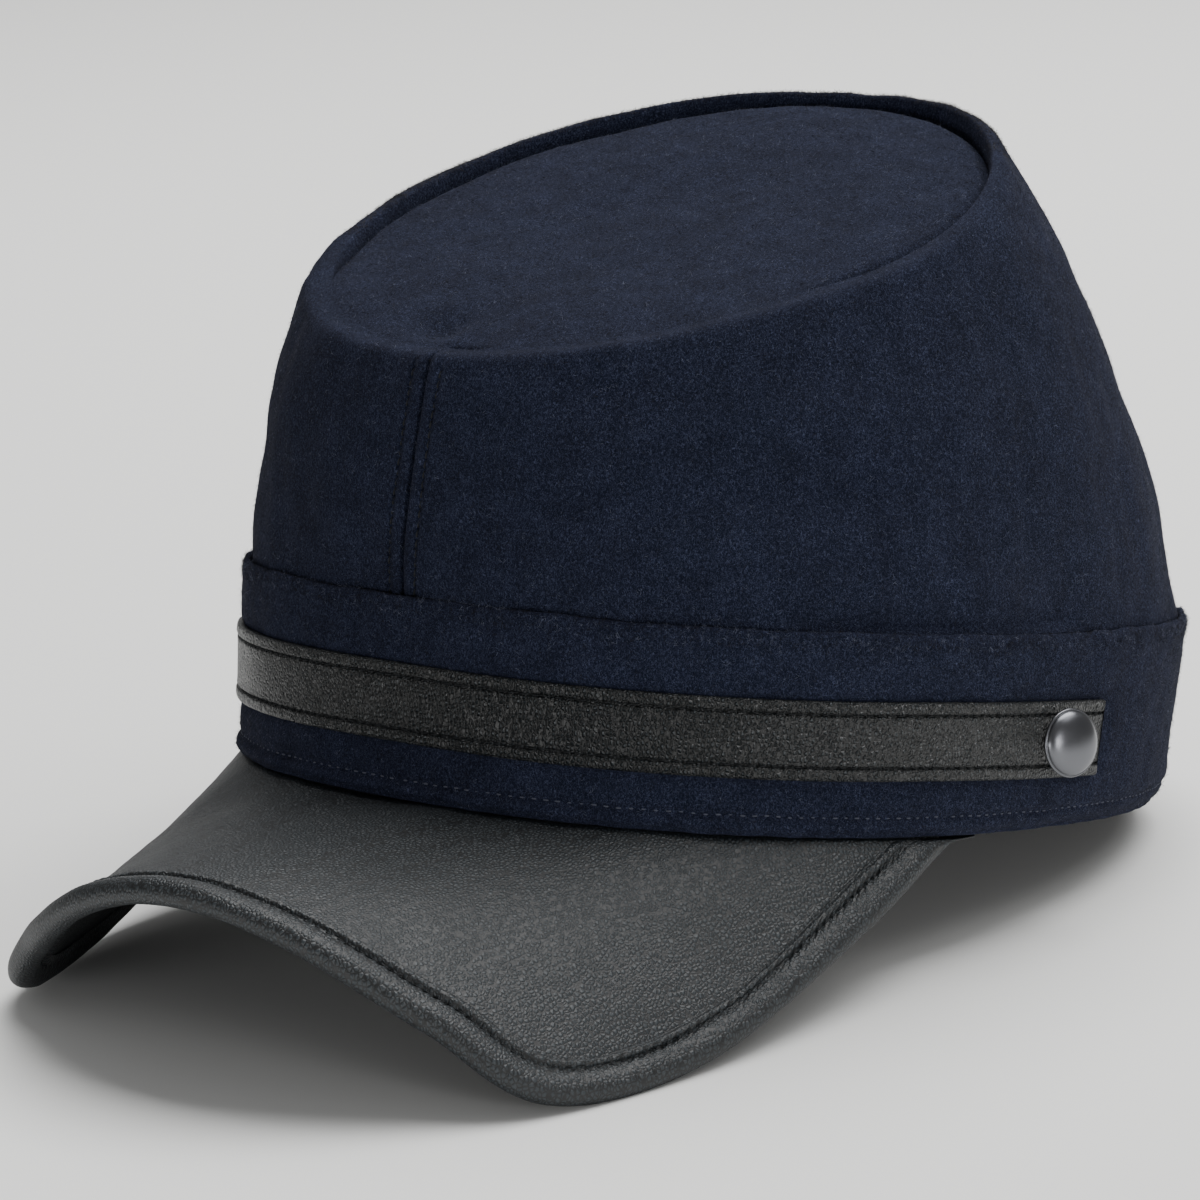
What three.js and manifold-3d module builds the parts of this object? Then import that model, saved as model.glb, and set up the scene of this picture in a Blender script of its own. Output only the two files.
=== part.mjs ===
import * as THREE from 'three';
import { mergeVertices } from 'three/addons/utils/BufferGeometryUtils.js';
import Module from 'manifold-3d';

// A forage cap with a tall soft crown that leans forward, a band round its base, a leather
// strap across the front and a curved leather peak. Millimetres and degrees.
//
// The hat's own frame has its origin at the centre of the band's lower edge, +Z along the
// hat's axis, the front at -Y and the wearer's left at +X. A bearing is an angle round the
// hat's axis: 0 at the front, 90 at the wearer's left, 180 at the back.

// Band
const BAND_HALF_LENGTH = 103;
const BAND_HALF_WIDTH = 86.5;
const BAND_ROUNDNESS = 2.25;
const BAND_FLARE = 2.13 / 40;
const BAND_HEIGHT = 38.9;
const BAND_THICKNESS = 2.6;
const BAND_EDGE_RADIUS = 1.0;

// Cloth walls, and the clearance between pieces that lie on each other
const CLOTH = 2.0;
const CLEARANCE = 0.3;

// Crown
const CROWN_TUCK = 11;
const CROWN_BULGE_FRONT = 1.6;
const CROWN_BULGE_BACK = 6.2;
const CROWN_BULGE_PEAK = 0.6;
const CROWN_ROLL = 1.9;
const CROWN_ROLL_LENGTH = 0.08;
const CROWN_TUCK_GAP = 0.5;
const CROWN_WALL_SPAN = 90;
const SEAM_LEAN_BASE = -1.7;
const SEAM_LEAN_TIP = 2.2;

// Tip, the oval panel on top, and the welt that stands round it. The shoulder is how far the
// wall's outer face lies outside the seam, a little below it. The oval spreads out a little
// around one bearing.
const TIP_Y = -31.8;
const TIP_Z = 113;
const TIP_SLOPE = 21.33;
const TIP_HALF_LENGTH = 74.1;
const TIP_HALF_WIDTH = 61.4;
const TIP_SPREAD = { bearing: 98, width: 26, out: 2.8 };
const TIP_PILLOW = 3.2;
const TIP_PILLOW_POWER = 6;
const TIP_DENT_POWER = 8;
const WELT_WIDTH = 2.8;
const WELT_DROP = 1.0;
const WELT_SIDE_SHARE = 0.7;
const WELT_ROWS = [
  { bearing: 0, height: 1.0, shoulder: 4.8 },
  { bearing: 45, height: 1.3, shoulder: 4.8 },
  { bearing: 90, height: 2.6, shoulder: 4.4 },
  { bearing: 145, height: 3.2, shoulder: 3.2 },
  { bearing: 180, height: 1.8, shoulder: 3.0 },
];

// Soft folds of the crown's wall. A fold runs from one place to another, each a bearing and a
// level from 0 at the band to 1 at the tip. Its rise is outward, and a hollow's is negative.
// The ends of a run are left out, and folds fade close to the tip and to the band.
const FOLDS = [
  { from: [16, 0.50], to: [64, 0.47], width: 9, rise: -1.6 },
  { from: [18, 0.20], to: [66, 0.40], width: 9, rise: 1.1 },
  { from: [21, 0.95], to: [60, 0.80], width: 8, rise: -0.9 },
  { from: [50, 0.70], to: [78, 0.64], width: 13, rise: 1.2 },
  { from: [45, 0.02], to: [95, 0.02], width: 4, rise: -1.2 },
  { from: [44, 0.15], to: [80, 0.13], width: 6, rise: 0.8 },
  { from: [112, 0.30], to: [140, 0.26], width: 10, rise: 1.2 },
  { from: [112, 0.50], to: [140, 0.54], width: 9, rise: -0.5 },
  { from: [-26, 0.45], to: [-60, 0.52], width: 9, rise: -0.5 },
  { from: [-80, 0.25], to: [-130, 0.32], width: 10, rise: 1.1 },
  { from: [-90, 0.60], to: [-150, 0.55], width: 11, rise: -1.2 },
  { from: [160, 0.62], to: [200, 0.55], width: 12, rise: -1.1 },
];

const FOLD_END_SHARE = 0.12;
const FOLD_FADE_AT_TIP = 12;
const FOLD_FADE_AT_BAND = 30;

// Dents of the tip: place along the tip's length (front is positive) and across it.
const TIP_DENTS = [
  { along: 66.5, across: -5, width: 7, depth: 3.2 },
  { along: -6, across: 54, width: 6, depth: 1.0 },
  { along: -22, across: 50, width: 6, depth: 0.9 },
  { along: 10, across: -6, width: 26, depth: 1.4 },
];

// Strap, which presses into the band's cloth in a trough with sloping sides that fades past its
// end, and its two buttons
const STRAP_LOWER = 11.0;
const STRAP_UPPER = 26.3;
const STRAP_THICKNESS = 1.4;
const STRAP_PRESS = 0.8;
const STRAP_BEVEL = 0.5;
const STRAP_END = 94.3;
const STRAP_TROUGH_SLOPE = 1.8;
const STRAP_TROUGH_PAST = 2.1;
const STRAP_TROUGH_FADE = 5;
const BUTTON_BEARING = 85.3;
const BUTTON_DROP = 0.8;
const BUTTON_RADIUS = 6.8;
const BUTTON_HEIGHT = 3.4;
const BUTTON_RIM = 0.9;
const BUTTON_BACK_ROUNDING = 0.4;
const BUTTON_RIM_TAPER = 0.15;
const BUTTON_DOME_INSET = 0.5;

// Peak: its upper face starts under the band and runs out straight at every bearing. The
// pitch is its slope down, the fan turns it towards the side and the length runs to the edge.
const PEAK_THICKNESS = 2.8;
const PEAK_START_INSET = 0.6;
const PEAK_MARGIN = 3.2;
const PEAK_MARGIN_STEP = 0.8;
const PEAK_MARGIN_DEPTH = 2.0;
const PEAK_END = 67;
const PEAK_SINK = 1.3;
const PEAK_SINK_FROM = 45;
const PEAK_SINK_SPAN = 20;
const PEAK_LEAST_SLANT = 0.3;
const PEAK_ROWS = [
  { bearing: 0, pitch: 10.6, fan: 0, length: 66.6 },
  { bearing: 14, pitch: 14.9, fan: 0.1, length: 66.9 },
  { bearing: 28, pitch: 26.1, fan: 1.8, length: 69.9 },
  { bearing: 38, pitch: 35.7, fan: 5.0, length: 73.2 },
  { bearing: 47, pitch: 42.8, fan: 9.7, length: 54.7 },
  { bearing: 57, pitch: 45.7, fan: 17.7, length: 20.8 },
  { bearing: 64, pitch: 42.3, fan: 25.2, length: 7.5 },
  { bearing: 69.8, pitch: 34.6, fan: 32.9, length: 0 },
];

// Binding: a padded leather strip folded round the peak's edge. Its rounding gives places in
// from the edge and above the board's middle.
const BINDING_WIDTH = 9.4;
const BINDING_THICKNESS = 5.2;
const BINDING_LEATHER = 0.9;
const BINDING_LIP = 5.2;
const BINDING_ROUNDING = [
  { into: 1.6, above: 2.4 },
  { into: 0.3, above: 1.4 },
];
const BINDING_ROOM = 0.8;

// The cap stands on the peak's two corners and the band's back edge, so its front is tilted
// up. Leather and cloth give a little where they rest.
const STANDING_TILT = 11.07;
const STANDING_LIFT = 19.08;
const STANDING_SHIFT = 28.41;

// Number of steps in the meshes
const BAND_STEPS = 72;
const CROWN_STEPS = 30;
const TIP_STEPS = 60;
const STRAP_STEPS = 38;
const PEAK_STEPS = 40;
const DOME_STEPS = 6;
const BUTTON_STEPS = 28;

const radians = THREE.MathUtils.degToRad;

// A column of a table at a value of its first column, as a smooth curve through its rows.
function smooth(rows, column, at) {
  const last = rows.length - 1;
  const x = THREE.MathUtils.clamp(at, rows[0].bearing, rows[last].bearing);
  let i = 0;
  while (i < last - 1 && x > rows[i + 1].bearing) i += 1;
  const slope = (k) => {
    if (k === 0) return 0;
    const next = Math.min(k + 1, last);
    const run = rows[next].bearing - rows[k - 1].bearing;
    return (rows[next][column] - rows[k - 1][column]) / run;
  };
  const span = rows[i + 1].bearing - rows[i].bearing;
  const t = (x - rows[i].bearing) / span;
  const u = 1 - t;
  const start = rows[i][column] * u * u * (1 + 2 * t) + slope(i) * span * t * u * u;
  const end = rows[i + 1][column] * t * t * (1 + 2 * u) - slope(i + 1) * span * t * t * u;
  return start + end;
}

// Distance of an oval from its centre at a bearing.
function ovalRadius(bearing, halfLength, halfWidth, roundness) {
  const across = Math.abs(Math.sin(radians(bearing)) / halfWidth);
  const along = Math.abs(Math.cos(radians(bearing)) / halfLength);
  return Math.pow(Math.pow(across, roundness) + Math.pow(along, roundness), -1 / roundness);
}

// Unit vector that points away from the hat's axis at a bearing.
function outward(bearing) {
  return new THREE.Vector3(Math.sin(radians(bearing)), -Math.cos(radians(bearing)), 0);
}

// A point at an inset from the band's outer face, at a height above its lower edge.
function bandPoint(bearing, inset, height) {
  const grow = BAND_FLARE * height - inset;
  const radius = ovalRadius(bearing, BAND_HALF_LENGTH + grow, BAND_HALF_WIDTH + grow, BAND_ROUNDNESS);
  return outward(bearing).multiplyScalar(radius).setZ(height);
}

// The tip's plane: down to the front, across to the wearer's left, and up from the cloth.
const tipCentre = new THREE.Vector3(0, TIP_Y, TIP_Z);
const tipAlong = new THREE.Vector3(0, -Math.cos(radians(TIP_SLOPE)), -Math.sin(radians(TIP_SLOPE)));
const tipAcross = new THREE.Vector3(1, 0, 0);
const tipUp = new THREE.Vector3(0, -Math.sin(radians(TIP_SLOPE)), Math.cos(radians(TIP_SLOPE)));

function tipPlace(along, across, up) {
  return tipCentre.clone()
    .addScaledVector(tipAlong, along)
    .addScaledVector(tipAcross, across)
    .addScaledVector(tipUp, up);
}

// How far the tip's seam lies outside its oval at a bearing.
function tipSpread(bearing) {
  const turned = THREE.MathUtils.euclideanModulo(bearing - TIP_SPREAD.bearing + 180, 360) - 180;
  return TIP_SPREAD.out * Math.exp(-Math.pow(turned / TIP_SPREAD.width, 2));
}

// A point beside the tip's seam: out from it in the tip's plane, and up from the plane.
function seamPoint(bearing, out, up) {
  const grow = tipSpread(bearing) + out;
  const along = (TIP_HALF_LENGTH + grow) * Math.cos(radians(bearing));
  const across = (TIP_HALF_WIDTH + grow) * Math.sin(radians(bearing));
  return tipPlace(along, across, up);
}

// A bearing from 0 to 180 for both sides, since the hat is symmetric.
function halfBearing(bearing) {
  const turned = THREE.MathUtils.euclideanModulo(bearing, 360);
  return Math.min(turned, 360 - turned);
}

// Rise of all folds at a place on the crown's wall, laid flat by its span in radius and height.
function foldRise(bearing, level) {
  const perDegree = radians(1) * CROWN_WALL_SPAN;
  const flat = (at, up) => new THREE.Vector2(at * perDegree, up * CROWN_WALL_SPAN);
  let rise = 0;
  for (const fold of FOLDS) {
    const start = flat(...fold.from);
    const run = flat(...fold.to).sub(start);
    for (const turn of [-360, 0, 360]) {
      const place = flat(bearing + turn, level).sub(start);
      const share = place.dot(run) / run.lengthSq();
      const along = THREE.MathUtils.clamp(share, FOLD_END_SHARE, 1 - FOLD_END_SHARE);
      const away = place.addScaledVector(run, -along).length() / fold.width;
      rise += fold.rise * Math.exp(-away * away);
    }
  }
  const fade = Math.min(1, FOLD_FADE_AT_TIP * (1 - level), FOLD_FADE_AT_BAND * level);
  return rise * fade;
}

// The crown's outer face at a bearing and a level from 0 at the band to 1 at the tip.
function crownPoint(bearing, level) {
  const base = bandPoint(bearing + SEAM_LEAN_BASE, BAND_THICKNESS + CLEARANCE, BAND_HEIGHT);
  const seam = bearing + SEAM_LEAN_TIP;
  const shoulder = smooth(WELT_ROWS, 'shoulder', halfBearing(seam));
  const top = seamPoint(seam, shoulder, -WELT_DROP);
  const toBack = (1 - Math.cos(radians(bearing))) / 2;
  const bulge = THREE.MathUtils.lerp(CROWN_BULGE_FRONT, CROWN_BULGE_BACK, toBack);
  const skewed = Math.pow(level, Math.log(0.5) / Math.log(CROWN_BULGE_PEAK));
  const roll = CROWN_ROLL * (1 - Math.exp(-level / CROWN_ROLL_LENGTH));
  const out = roll + bulge * 4 * skewed * (1 - skewed) + foldRise(bearing, level);
  return base.lerp(top, level).addScaledVector(outward(bearing), out);
}

// The same wall's inner face, one cloth thickness in.
function crownInnerPoint(bearing, level) {
  const step = 0.02;
  const high = Math.min(level + step, 1);
  const low = Math.max(level - step, 0);
  const rising = crownPoint(bearing, high).sub(crownPoint(bearing, low));
  const turning = crownPoint(bearing + 1, level).sub(crownPoint(bearing - 1, level));
  const normal = turning.cross(rising).normalize();
  return crownPoint(bearing, level).addScaledVector(normal, -CLOTH);
}

// The tip's upper face at a part of the way from its centre to its seam.
function tipPoint(bearing, part, below) {
  const edge = part * (1 - CLEARANCE / TIP_HALF_WIDTH);
  const along = edge * (TIP_HALF_LENGTH + tipSpread(bearing)) * Math.cos(radians(bearing));
  const across = edge * (TIP_HALF_WIDTH + tipSpread(bearing)) * Math.sin(radians(bearing));
  let up = TIP_PILLOW * (1 - Math.pow(part, TIP_PILLOW_POWER));
  for (const dent of TIP_DENTS) {
    const away = Math.hypot(along - dent.along, across - dent.across) / dent.width;
    up -= dent.depth * Math.exp(-away * away) * (1 - Math.pow(part, TIP_DENT_POWER));
  }
  return tipPlace(along, across, up - below);
}

// Unit vector along the peak at a bearing: outward at the fan's bearing, pitched down.
function peakDirection(bearing) {
  const side = Math.sign(bearing);
  const row = Math.abs(bearing);
  const pitch = radians(smooth(PEAK_ROWS, 'pitch', row));
  const fan = side * smooth(PEAK_ROWS, 'fan', row);
  return outward(fan).multiplyScalar(Math.cos(pitch)).setZ(-Math.sin(pitch));
}

function peakLength(bearing) {
  return smooth(PEAK_ROWS, 'length', Math.abs(bearing));
}

// The peak's upper face at a bearing, so far out from the band.
function peakPoint(bearing, out) {
  const sinking = (Math.abs(bearing) - PEAK_SINK_FROM) / PEAK_SINK_SPAN;
  const sink = PEAK_SINK * THREE.MathUtils.clamp(sinking, 0, 1);
  const start = bandPoint(bearing, PEAK_START_INSET, 0).setZ(-CLEARANCE - sink);
  return start.addScaledVector(peakDirection(bearing), out);
}

// Unit vector up out of the peak's upper face.
function peakNormal(bearing, out) {
  const step = 0.5;
  const turning = peakPoint(bearing + step, out).sub(peakPoint(bearing - step, out));
  return turning.cross(peakDirection(bearing)).normalize().negate();
}

// The middle of the peak's edge, and at it the directions inward along the leather and up,
// the cosine between inward and the board's own direction, and how far the binding narrows
// where the board runs out under the band.
function peakEdge(bearing) {
  const step = 0.5;
  const at = (b) => peakPoint(b, peakLength(b));
  const along = at(bearing + step).sub(at(bearing - step)).normalize();
  const up = peakNormal(bearing, peakLength(bearing));
  const inward = along.clone().cross(up).normalize();
  if (inward.dot(peakDirection(bearing)) > 0) inward.negate();
  const place = at(bearing).addScaledVector(up, -PEAK_THICKNESS / 2);
  const slant = Math.max(PEAK_LEAST_SLANT, -inward.dot(peakDirection(bearing)));
  const room = (peakLength(bearing) * slant - BINDING_ROOM) / BINDING_WIDTH;
  return { place, inward, up, slant, narrowing: Math.min(1, room) };
}

// A closed body through a row of closed sections with equal numbers of points. The row is
// a ring, or its two ends are capped.
function loft(sections, ring) {
  const count = sections[0].length;
  const positions = [];
  for (const section of sections) {
    for (const point of section) positions.push(point.x, point.y, point.z);
  }
  const triangles = [];
  const spans = ring ? sections.length : sections.length - 1;
  for (let i = 0; i < spans; i += 1) {
    const here = i * count;
    const next = ((i + 1) % sections.length) * count;
    for (let j = 0; j < count; j += 1) {
      const k = (j + 1) % count;
      triangles.push(here + j, next + j, next + k, here + j, next + k, here + k);
    }
  }
  if (!ring) {
    const last = (sections.length - 1) * count;
    for (const face of capFaces(sections[0])) {
      triangles.push(face[0], face[1], face[2]);
    }
    for (const face of capFaces(sections[sections.length - 1])) {
      triangles.push(last + face[0], last + face[2], last + face[1]);
    }
  }
  const geometry = new THREE.BufferGeometry();
  geometry.setAttribute('position', new THREE.Float32BufferAttribute(positions, 3));
  geometry.setIndex(triangles);
  return facedOutward(geometry);
}

// Triangles that fill one section, seen in the plane that fits it, in its own turning sense.
function capFaces(section) {
  const normal = new THREE.Vector3();
  section.forEach((point, i) => {
    const next = section[(i + 1) % section.length];
    normal.add(point.clone().cross(next));
  });
  normal.normalize();
  const axis = new THREE.Vector3().subVectors(section[1], section[0]).normalize();
  axis.addScaledVector(normal, -axis.dot(normal)).normalize();
  const other = normal.clone().cross(axis);
  const flat = section.map((point) => new THREE.Vector2(point.dot(axis), point.dot(other)));
  return THREE.ShapeUtils.triangulateShape(flat, []);
}

// Shared points joined, flat triangles dropped, and the faces turned outward.
function facedOutward(geometry) {
  const merged = mergeVertices(geometry, 1e-4);
  const index = merged.index.array;
  const kept = [];
  for (let i = 0; i < index.length; i += 3) {
    const [a, b, c] = [index[i], index[i + 1], index[i + 2]];
    if (a !== b && b !== c && c !== a) kept.push(a, b, c);
  }
  const position = merged.attributes.position;
  const [p, q, r] = [new THREE.Vector3(), new THREE.Vector3(), new THREE.Vector3()];
  let volume = 0;
  for (let i = 0; i < kept.length; i += 3) {
    p.fromBufferAttribute(position, kept[i]);
    q.fromBufferAttribute(position, kept[i + 1]);
    r.fromBufferAttribute(position, kept[i + 2]);
    volume += p.dot(q.cross(r));
  }
  if (volume < 0) kept.reverse();
  merged.setIndex(kept);
  return merged;
}

// Band: a ring with softly bevelled edges, and a shallow trough where the strap lies.
function bandProfile(bearing) {
  const bevel = BAND_EDGE_RADIUS;
  const pastStrap = (halfBearing(bearing) - STRAP_END - STRAP_TROUGH_PAST) / STRAP_TROUGH_FADE;
  const press = STRAP_PRESS * (1 - THREE.MathUtils.clamp(pastStrap, 0, 1));
  return [
    [bevel, 0],
    [0, bevel],
    [0, STRAP_LOWER - STRAP_TROUGH_SLOPE],
    [press, STRAP_LOWER - CLEARANCE],
    [press, STRAP_UPPER + CLEARANCE],
    [0, STRAP_UPPER + STRAP_TROUGH_SLOPE],
    [0, BAND_HEIGHT - bevel],
    [bevel, BAND_HEIGHT],
    [BAND_THICKNESS - bevel / 2, BAND_HEIGHT],
    [BAND_THICKNESS, BAND_HEIGHT - bevel / 2],
    [BAND_THICKNESS, bevel / 2],
    [BAND_THICKNESS - bevel / 2, 0],
  ];
}

function bandGeometry() {
  const sections = [];
  for (let i = 0; i < BAND_STEPS; i += 1) {
    const bearing = (360 * i) / BAND_STEPS;
    const profile = bandProfile(bearing);
    sections.push(profile.map(([inset, height]) => bandPoint(bearing, inset, height)));
  }
  return loft(sections, true);
}

// One half of the crown's wall: tucked inside the band, up the wall, over the welt and back
// down the inside.
function crownSideGeometry(side) {
  const levels = [0.04, 0.1, 0.18, 0.28, 0.39, 0.5, 0.61, 0.72, 0.82, 0.91, 1];
  const innerLevels = [0.93, 0.78, 0.61, 0.45, 0.28, 0.13, 0.04];
  const tuckInset = BAND_THICKNESS + CLEARANCE;
  const tuckTop = BAND_HEIGHT - CROWN_TUCK_GAP;
  const tuckBottom = BAND_HEIGHT - CROWN_TUCK;
  const seamGap = CLEARANCE / 2;
  const sections = [];
  for (let i = 0; i <= CROWN_STEPS; i += 1) {
    const bearing = side * (180 * i) / CROWN_STEPS;
    const base = bearing + SEAM_LEAN_BASE;
    const seam = bearing + SEAM_LEAN_TIP;
    const welt = smooth(WELT_ROWS, 'height', halfBearing(seam));
    const under = -CLOTH - CLEARANCE;
    const section = [bandPoint(base, tuckInset, tuckBottom), bandPoint(base, tuckInset, tuckTop)];
    for (const level of levels) section.push(crownPoint(bearing, level));
    section.push(seamPoint(seam, WELT_WIDTH, welt * WELT_SIDE_SHARE));
    section.push(seamPoint(seam, WELT_WIDTH / 2, welt));
    section.push(seamPoint(seam, CLEARANCE, welt * WELT_SIDE_SHARE));
    section.push(seamPoint(seam, 0, under));
    for (const level of innerLevels) section.push(crownInnerPoint(bearing, level));
    section.push(bandPoint(base, tuckInset + CLOTH, tuckTop));
    section.push(bandPoint(base, tuckInset + CLOTH, tuckBottom));
    const end = i === 0 ? 1 : i === CROWN_STEPS ? -1 : 0;
    const shift = outward(bearing + 90).multiplyScalar(side * end * seamGap);
    sections.push(section.map((point) => point.add(shift)));
  }
  return loft(sections, false);
}

// Tip: an oval pillow of cloth, one thickness deep.
function tipGeometry() {
  const upper = [0, 0.3, 0.55, 0.75, 0.88, 0.96, 1];
  const lower = [1, 0.85, 0.5, 0];
  const sections = [];
  for (let i = 0; i < TIP_STEPS; i += 1) {
    const bearing = (360 * i) / TIP_STEPS + SEAM_LEAN_TIP;
    const section = upper.map((part) => tipPoint(bearing, part, 0));
    section.push(...lower.map((part) => tipPoint(bearing, part, CLOTH)));
    sections.push(section);
  }
  return loft(sections, true);
}

// Inset of the strap's back, which lies in the pressed cloth.
function strapBack() {
  return STRAP_PRESS - CLEARANCE;
}

// Strap: a leather strip round the front of the band.
function strapGeometry() {
  const back = strapBack();
  const face = back - STRAP_THICKNESS;
  const profile = [
    [back, STRAP_LOWER + STRAP_BEVEL / 2],
    [back - STRAP_BEVEL, STRAP_LOWER],
    [face + STRAP_BEVEL, STRAP_LOWER],
    [face, STRAP_LOWER + STRAP_BEVEL],
    [face, STRAP_UPPER - STRAP_BEVEL],
    [face + STRAP_BEVEL, STRAP_UPPER],
    [back - STRAP_BEVEL, STRAP_UPPER],
    [back, STRAP_UPPER - STRAP_BEVEL / 2],
  ];
  const sections = [];
  for (let i = 0; i <= STRAP_STEPS; i += 1) {
    const bearing = STRAP_END * ((2 * i) / STRAP_STEPS - 1);
    sections.push(profile.map(([inset, height]) => bandPoint(bearing, inset, height)));
  }
  return loft(sections, false);
}

// Button: a shallow metal dome on a thin rim, turned round the axis of its rivet.
function buttonGeometry() {
  const profile = [
    new THREE.Vector2(0, 0),
    new THREE.Vector2(BUTTON_RADIUS - BUTTON_BACK_ROUNDING, 0),
    new THREE.Vector2(BUTTON_RADIUS, BUTTON_RIM / 2),
    new THREE.Vector2(BUTTON_RADIUS - BUTTON_RIM_TAPER, BUTTON_RIM),
  ];
  const domeRadius = BUTTON_RADIUS - BUTTON_DOME_INSET;
  for (let i = 0; i <= DOME_STEPS; i += 1) {
    const angle = (Math.PI / 2) * (i / DOME_STEPS);
    const height = BUTTON_RIM + (BUTTON_HEIGHT - BUTTON_RIM) * Math.sin(angle);
    profile.push(new THREE.Vector2(domeRadius * Math.cos(angle), height));
  }
  profile[profile.length - 1].x = 0;
  const geometry = new THREE.LatheGeometry(profile, BUTTON_STEPS);
  geometry.deleteAttribute('normal');
  geometry.deleteAttribute('uv');
  geometry.rotateX(Math.PI / 2);
  return facedOutward(geometry);
}

// Places a button's axis, its +Z, along the outward direction of the strap's face.
function placeButton(mesh, side) {
  const bearing = side * BUTTON_BEARING;
  const middle = (STRAP_LOWER + STRAP_UPPER) / 2 - BUTTON_DROP;
  const lift = strapBack() - STRAP_THICKNESS - CLEARANCE;
  const step = 1;
  const turning = bandPoint(bearing + step, lift, middle).sub(bandPoint(bearing - step, lift, middle));
  const rising = bandPoint(bearing, lift, middle + step).sub(bandPoint(bearing, lift, middle - step));
  const axis = turning.cross(rising).normalize();
  mesh.position.copy(bandPoint(bearing, lift, middle));
  mesh.quaternion.setFromUnitVectors(new THREE.Vector3(0, 0, 1), axis);
}

// Peak: one curved leather board from under the band to just inside the binding's fold.
function peakGeometry() {
  const upper = [0, 0.15, 0.32, 0.5, 0.68, 0.85, 1];
  const sections = [];
  for (let i = 0; i <= PEAK_STEPS; i += 1) {
    const bearing = PEAK_END * ((2 * i) / PEAK_STEPS - 1);
    const edge = peakEdge(bearing);
    const inBinding = BINDING_LEATHER * edge.narrowing + CLEARANCE;
    const reach = peakLength(bearing) - inBinding / edge.slant;
    const sink = peakPoint(bearing, 0).z;
    const face = (out, depth) => peakPoint(bearing, out).addScaledVector(peakNormal(bearing, out), -depth);
    const section = [bandPoint(bearing, PEAK_MARGIN, 0).setZ(sink)];
    for (const part of upper) section.push(face(part * reach, 0));
    for (const part of [...upper].reverse()) section.push(face(part * reach, PEAK_THICKNESS));
    const under = bandPoint(bearing, PEAK_MARGIN + PEAK_MARGIN_STEP, 0);
    section.push(under.setZ(sink - PEAK_MARGIN_DEPTH));
    sections.push(section);
  }
  return loft(sections, false);
}

// Binding: a fold of leather round the peak's edge, padded so that it bulges past the board.
function bindingGeometry() {
  const slot = PEAK_THICKNESS / 2 + CLEARANCE;
  const skin = slot + BINDING_LEATHER;
  const pad = BINDING_THICKNESS / 2;
  const profile = [
    [BINDING_WIDTH, slot],
    [BINDING_WIDTH, skin],
    [BINDING_LIP, pad],
    ...BINDING_ROUNDING.map((row) => [row.into, row.above]),
    [0, 0],
    ...[...BINDING_ROUNDING].reverse().map((row) => [row.into, -row.above]),
    [BINDING_LIP, -pad],
    [BINDING_WIDTH, -skin],
    [BINDING_WIDTH, -slot],
    [BINDING_LEATHER, -slot],
    [BINDING_LEATHER, slot],
  ];
  const sections = [];
  for (let i = 0; i <= PEAK_STEPS; i += 1) {
    const bearing = PEAK_END * ((2 * i) / PEAK_STEPS - 1);
    const { place, inward, up, narrowing } = peakEdge(bearing);
    sections.push(profile.map(([into, above]) =>
      place.clone().addScaledVector(inward, into * narrowing).addScaledVector(up, above)));
  }
  return loft(sections, false);
}

const wasm = await Module();
wasm.setup();

function toSolid(geometry) {
  return new wasm.Manifold(new wasm.Mesh({
    numProp: 3,
    vertProperties: new Float32Array(geometry.attributes.position.array),
    triVerts: new Uint32Array(geometry.index.array),
  }));
}

function toGeometry(solid) {
  const mesh = solid.getMesh();
  const geometry = new THREE.BufferGeometry();
  geometry.setAttribute('position', new THREE.BufferAttribute(mesh.vertProperties, 3));
  geometry.setIndex(new THREE.BufferAttribute(mesh.triVerts, 1));
  return geometry;
}

// The placing of the hat's own frame on the surface it stands on.
const standing = new THREE.Matrix4()
  .makeTranslation(0, STANDING_SHIFT, STANDING_LIFT)
  .multiply(new THREE.Matrix4().makeRotationX(radians(-STANDING_TILT)));

// What rests on the surface is flattened there: all below its plane is taken off.
function flattened(geometry) {
  const reach = 400;
  const below = new THREE.BoxGeometry(reach, reach, reach).translate(0, 0, -reach / 2);
  below.deleteAttribute('normal');
  below.deleteAttribute('uv');
  const placed = geometry.clone().applyMatrix4(standing);
  const solid = toSolid(placed).subtract(toSolid(mergeVertices(below, 1e-4)));
  return toGeometry(solid);
}

const cloth = () => new THREE.MeshStandardMaterial({ color: '#1c2036', roughness: 0.95, metalness: 0 });
const leather = () => new THREE.MeshStandardMaterial({ color: '#24272a', roughness: 0.5, metalness: 0 });
const metal = () => new THREE.MeshStandardMaterial({ color: '#4a4c50', roughness: 0.35, metalness: 1 });

const group = new THREE.Group();
const hat = new THREE.Group();
hat.applyMatrix4(standing);
group.add(hat);

function add(parent, name, geometry, material) {
  const mesh = new THREE.Mesh(geometry, material);
  mesh.name = name;
  parent.add(mesh);
  return mesh;
}

add(hat, 'crown_side_left', crownSideGeometry(1), cloth());
add(hat, 'crown_side_right', crownSideGeometry(-1), cloth());
add(hat, 'crown_tip', tipGeometry(), cloth());
add(hat, 'strap', strapGeometry(), leather());
placeButton(add(hat, 'button_left', buttonGeometry(), metal()), 1);
placeButton(add(hat, 'button_right', buttonGeometry(), metal()), -1);
add(hat, 'visor_panel', peakGeometry(), leather());
add(group, 'band', flattened(bandGeometry()), cloth());
add(group, 'visor_binding', flattened(bindingGeometry()), leather());

export default group;
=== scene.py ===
import math

import bmesh
import bpy
import numpy as np
from bpy.props import FloatProperty, FloatVectorProperty, IntProperty, PointerProperty
from mathutils import Matrix, Vector


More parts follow.
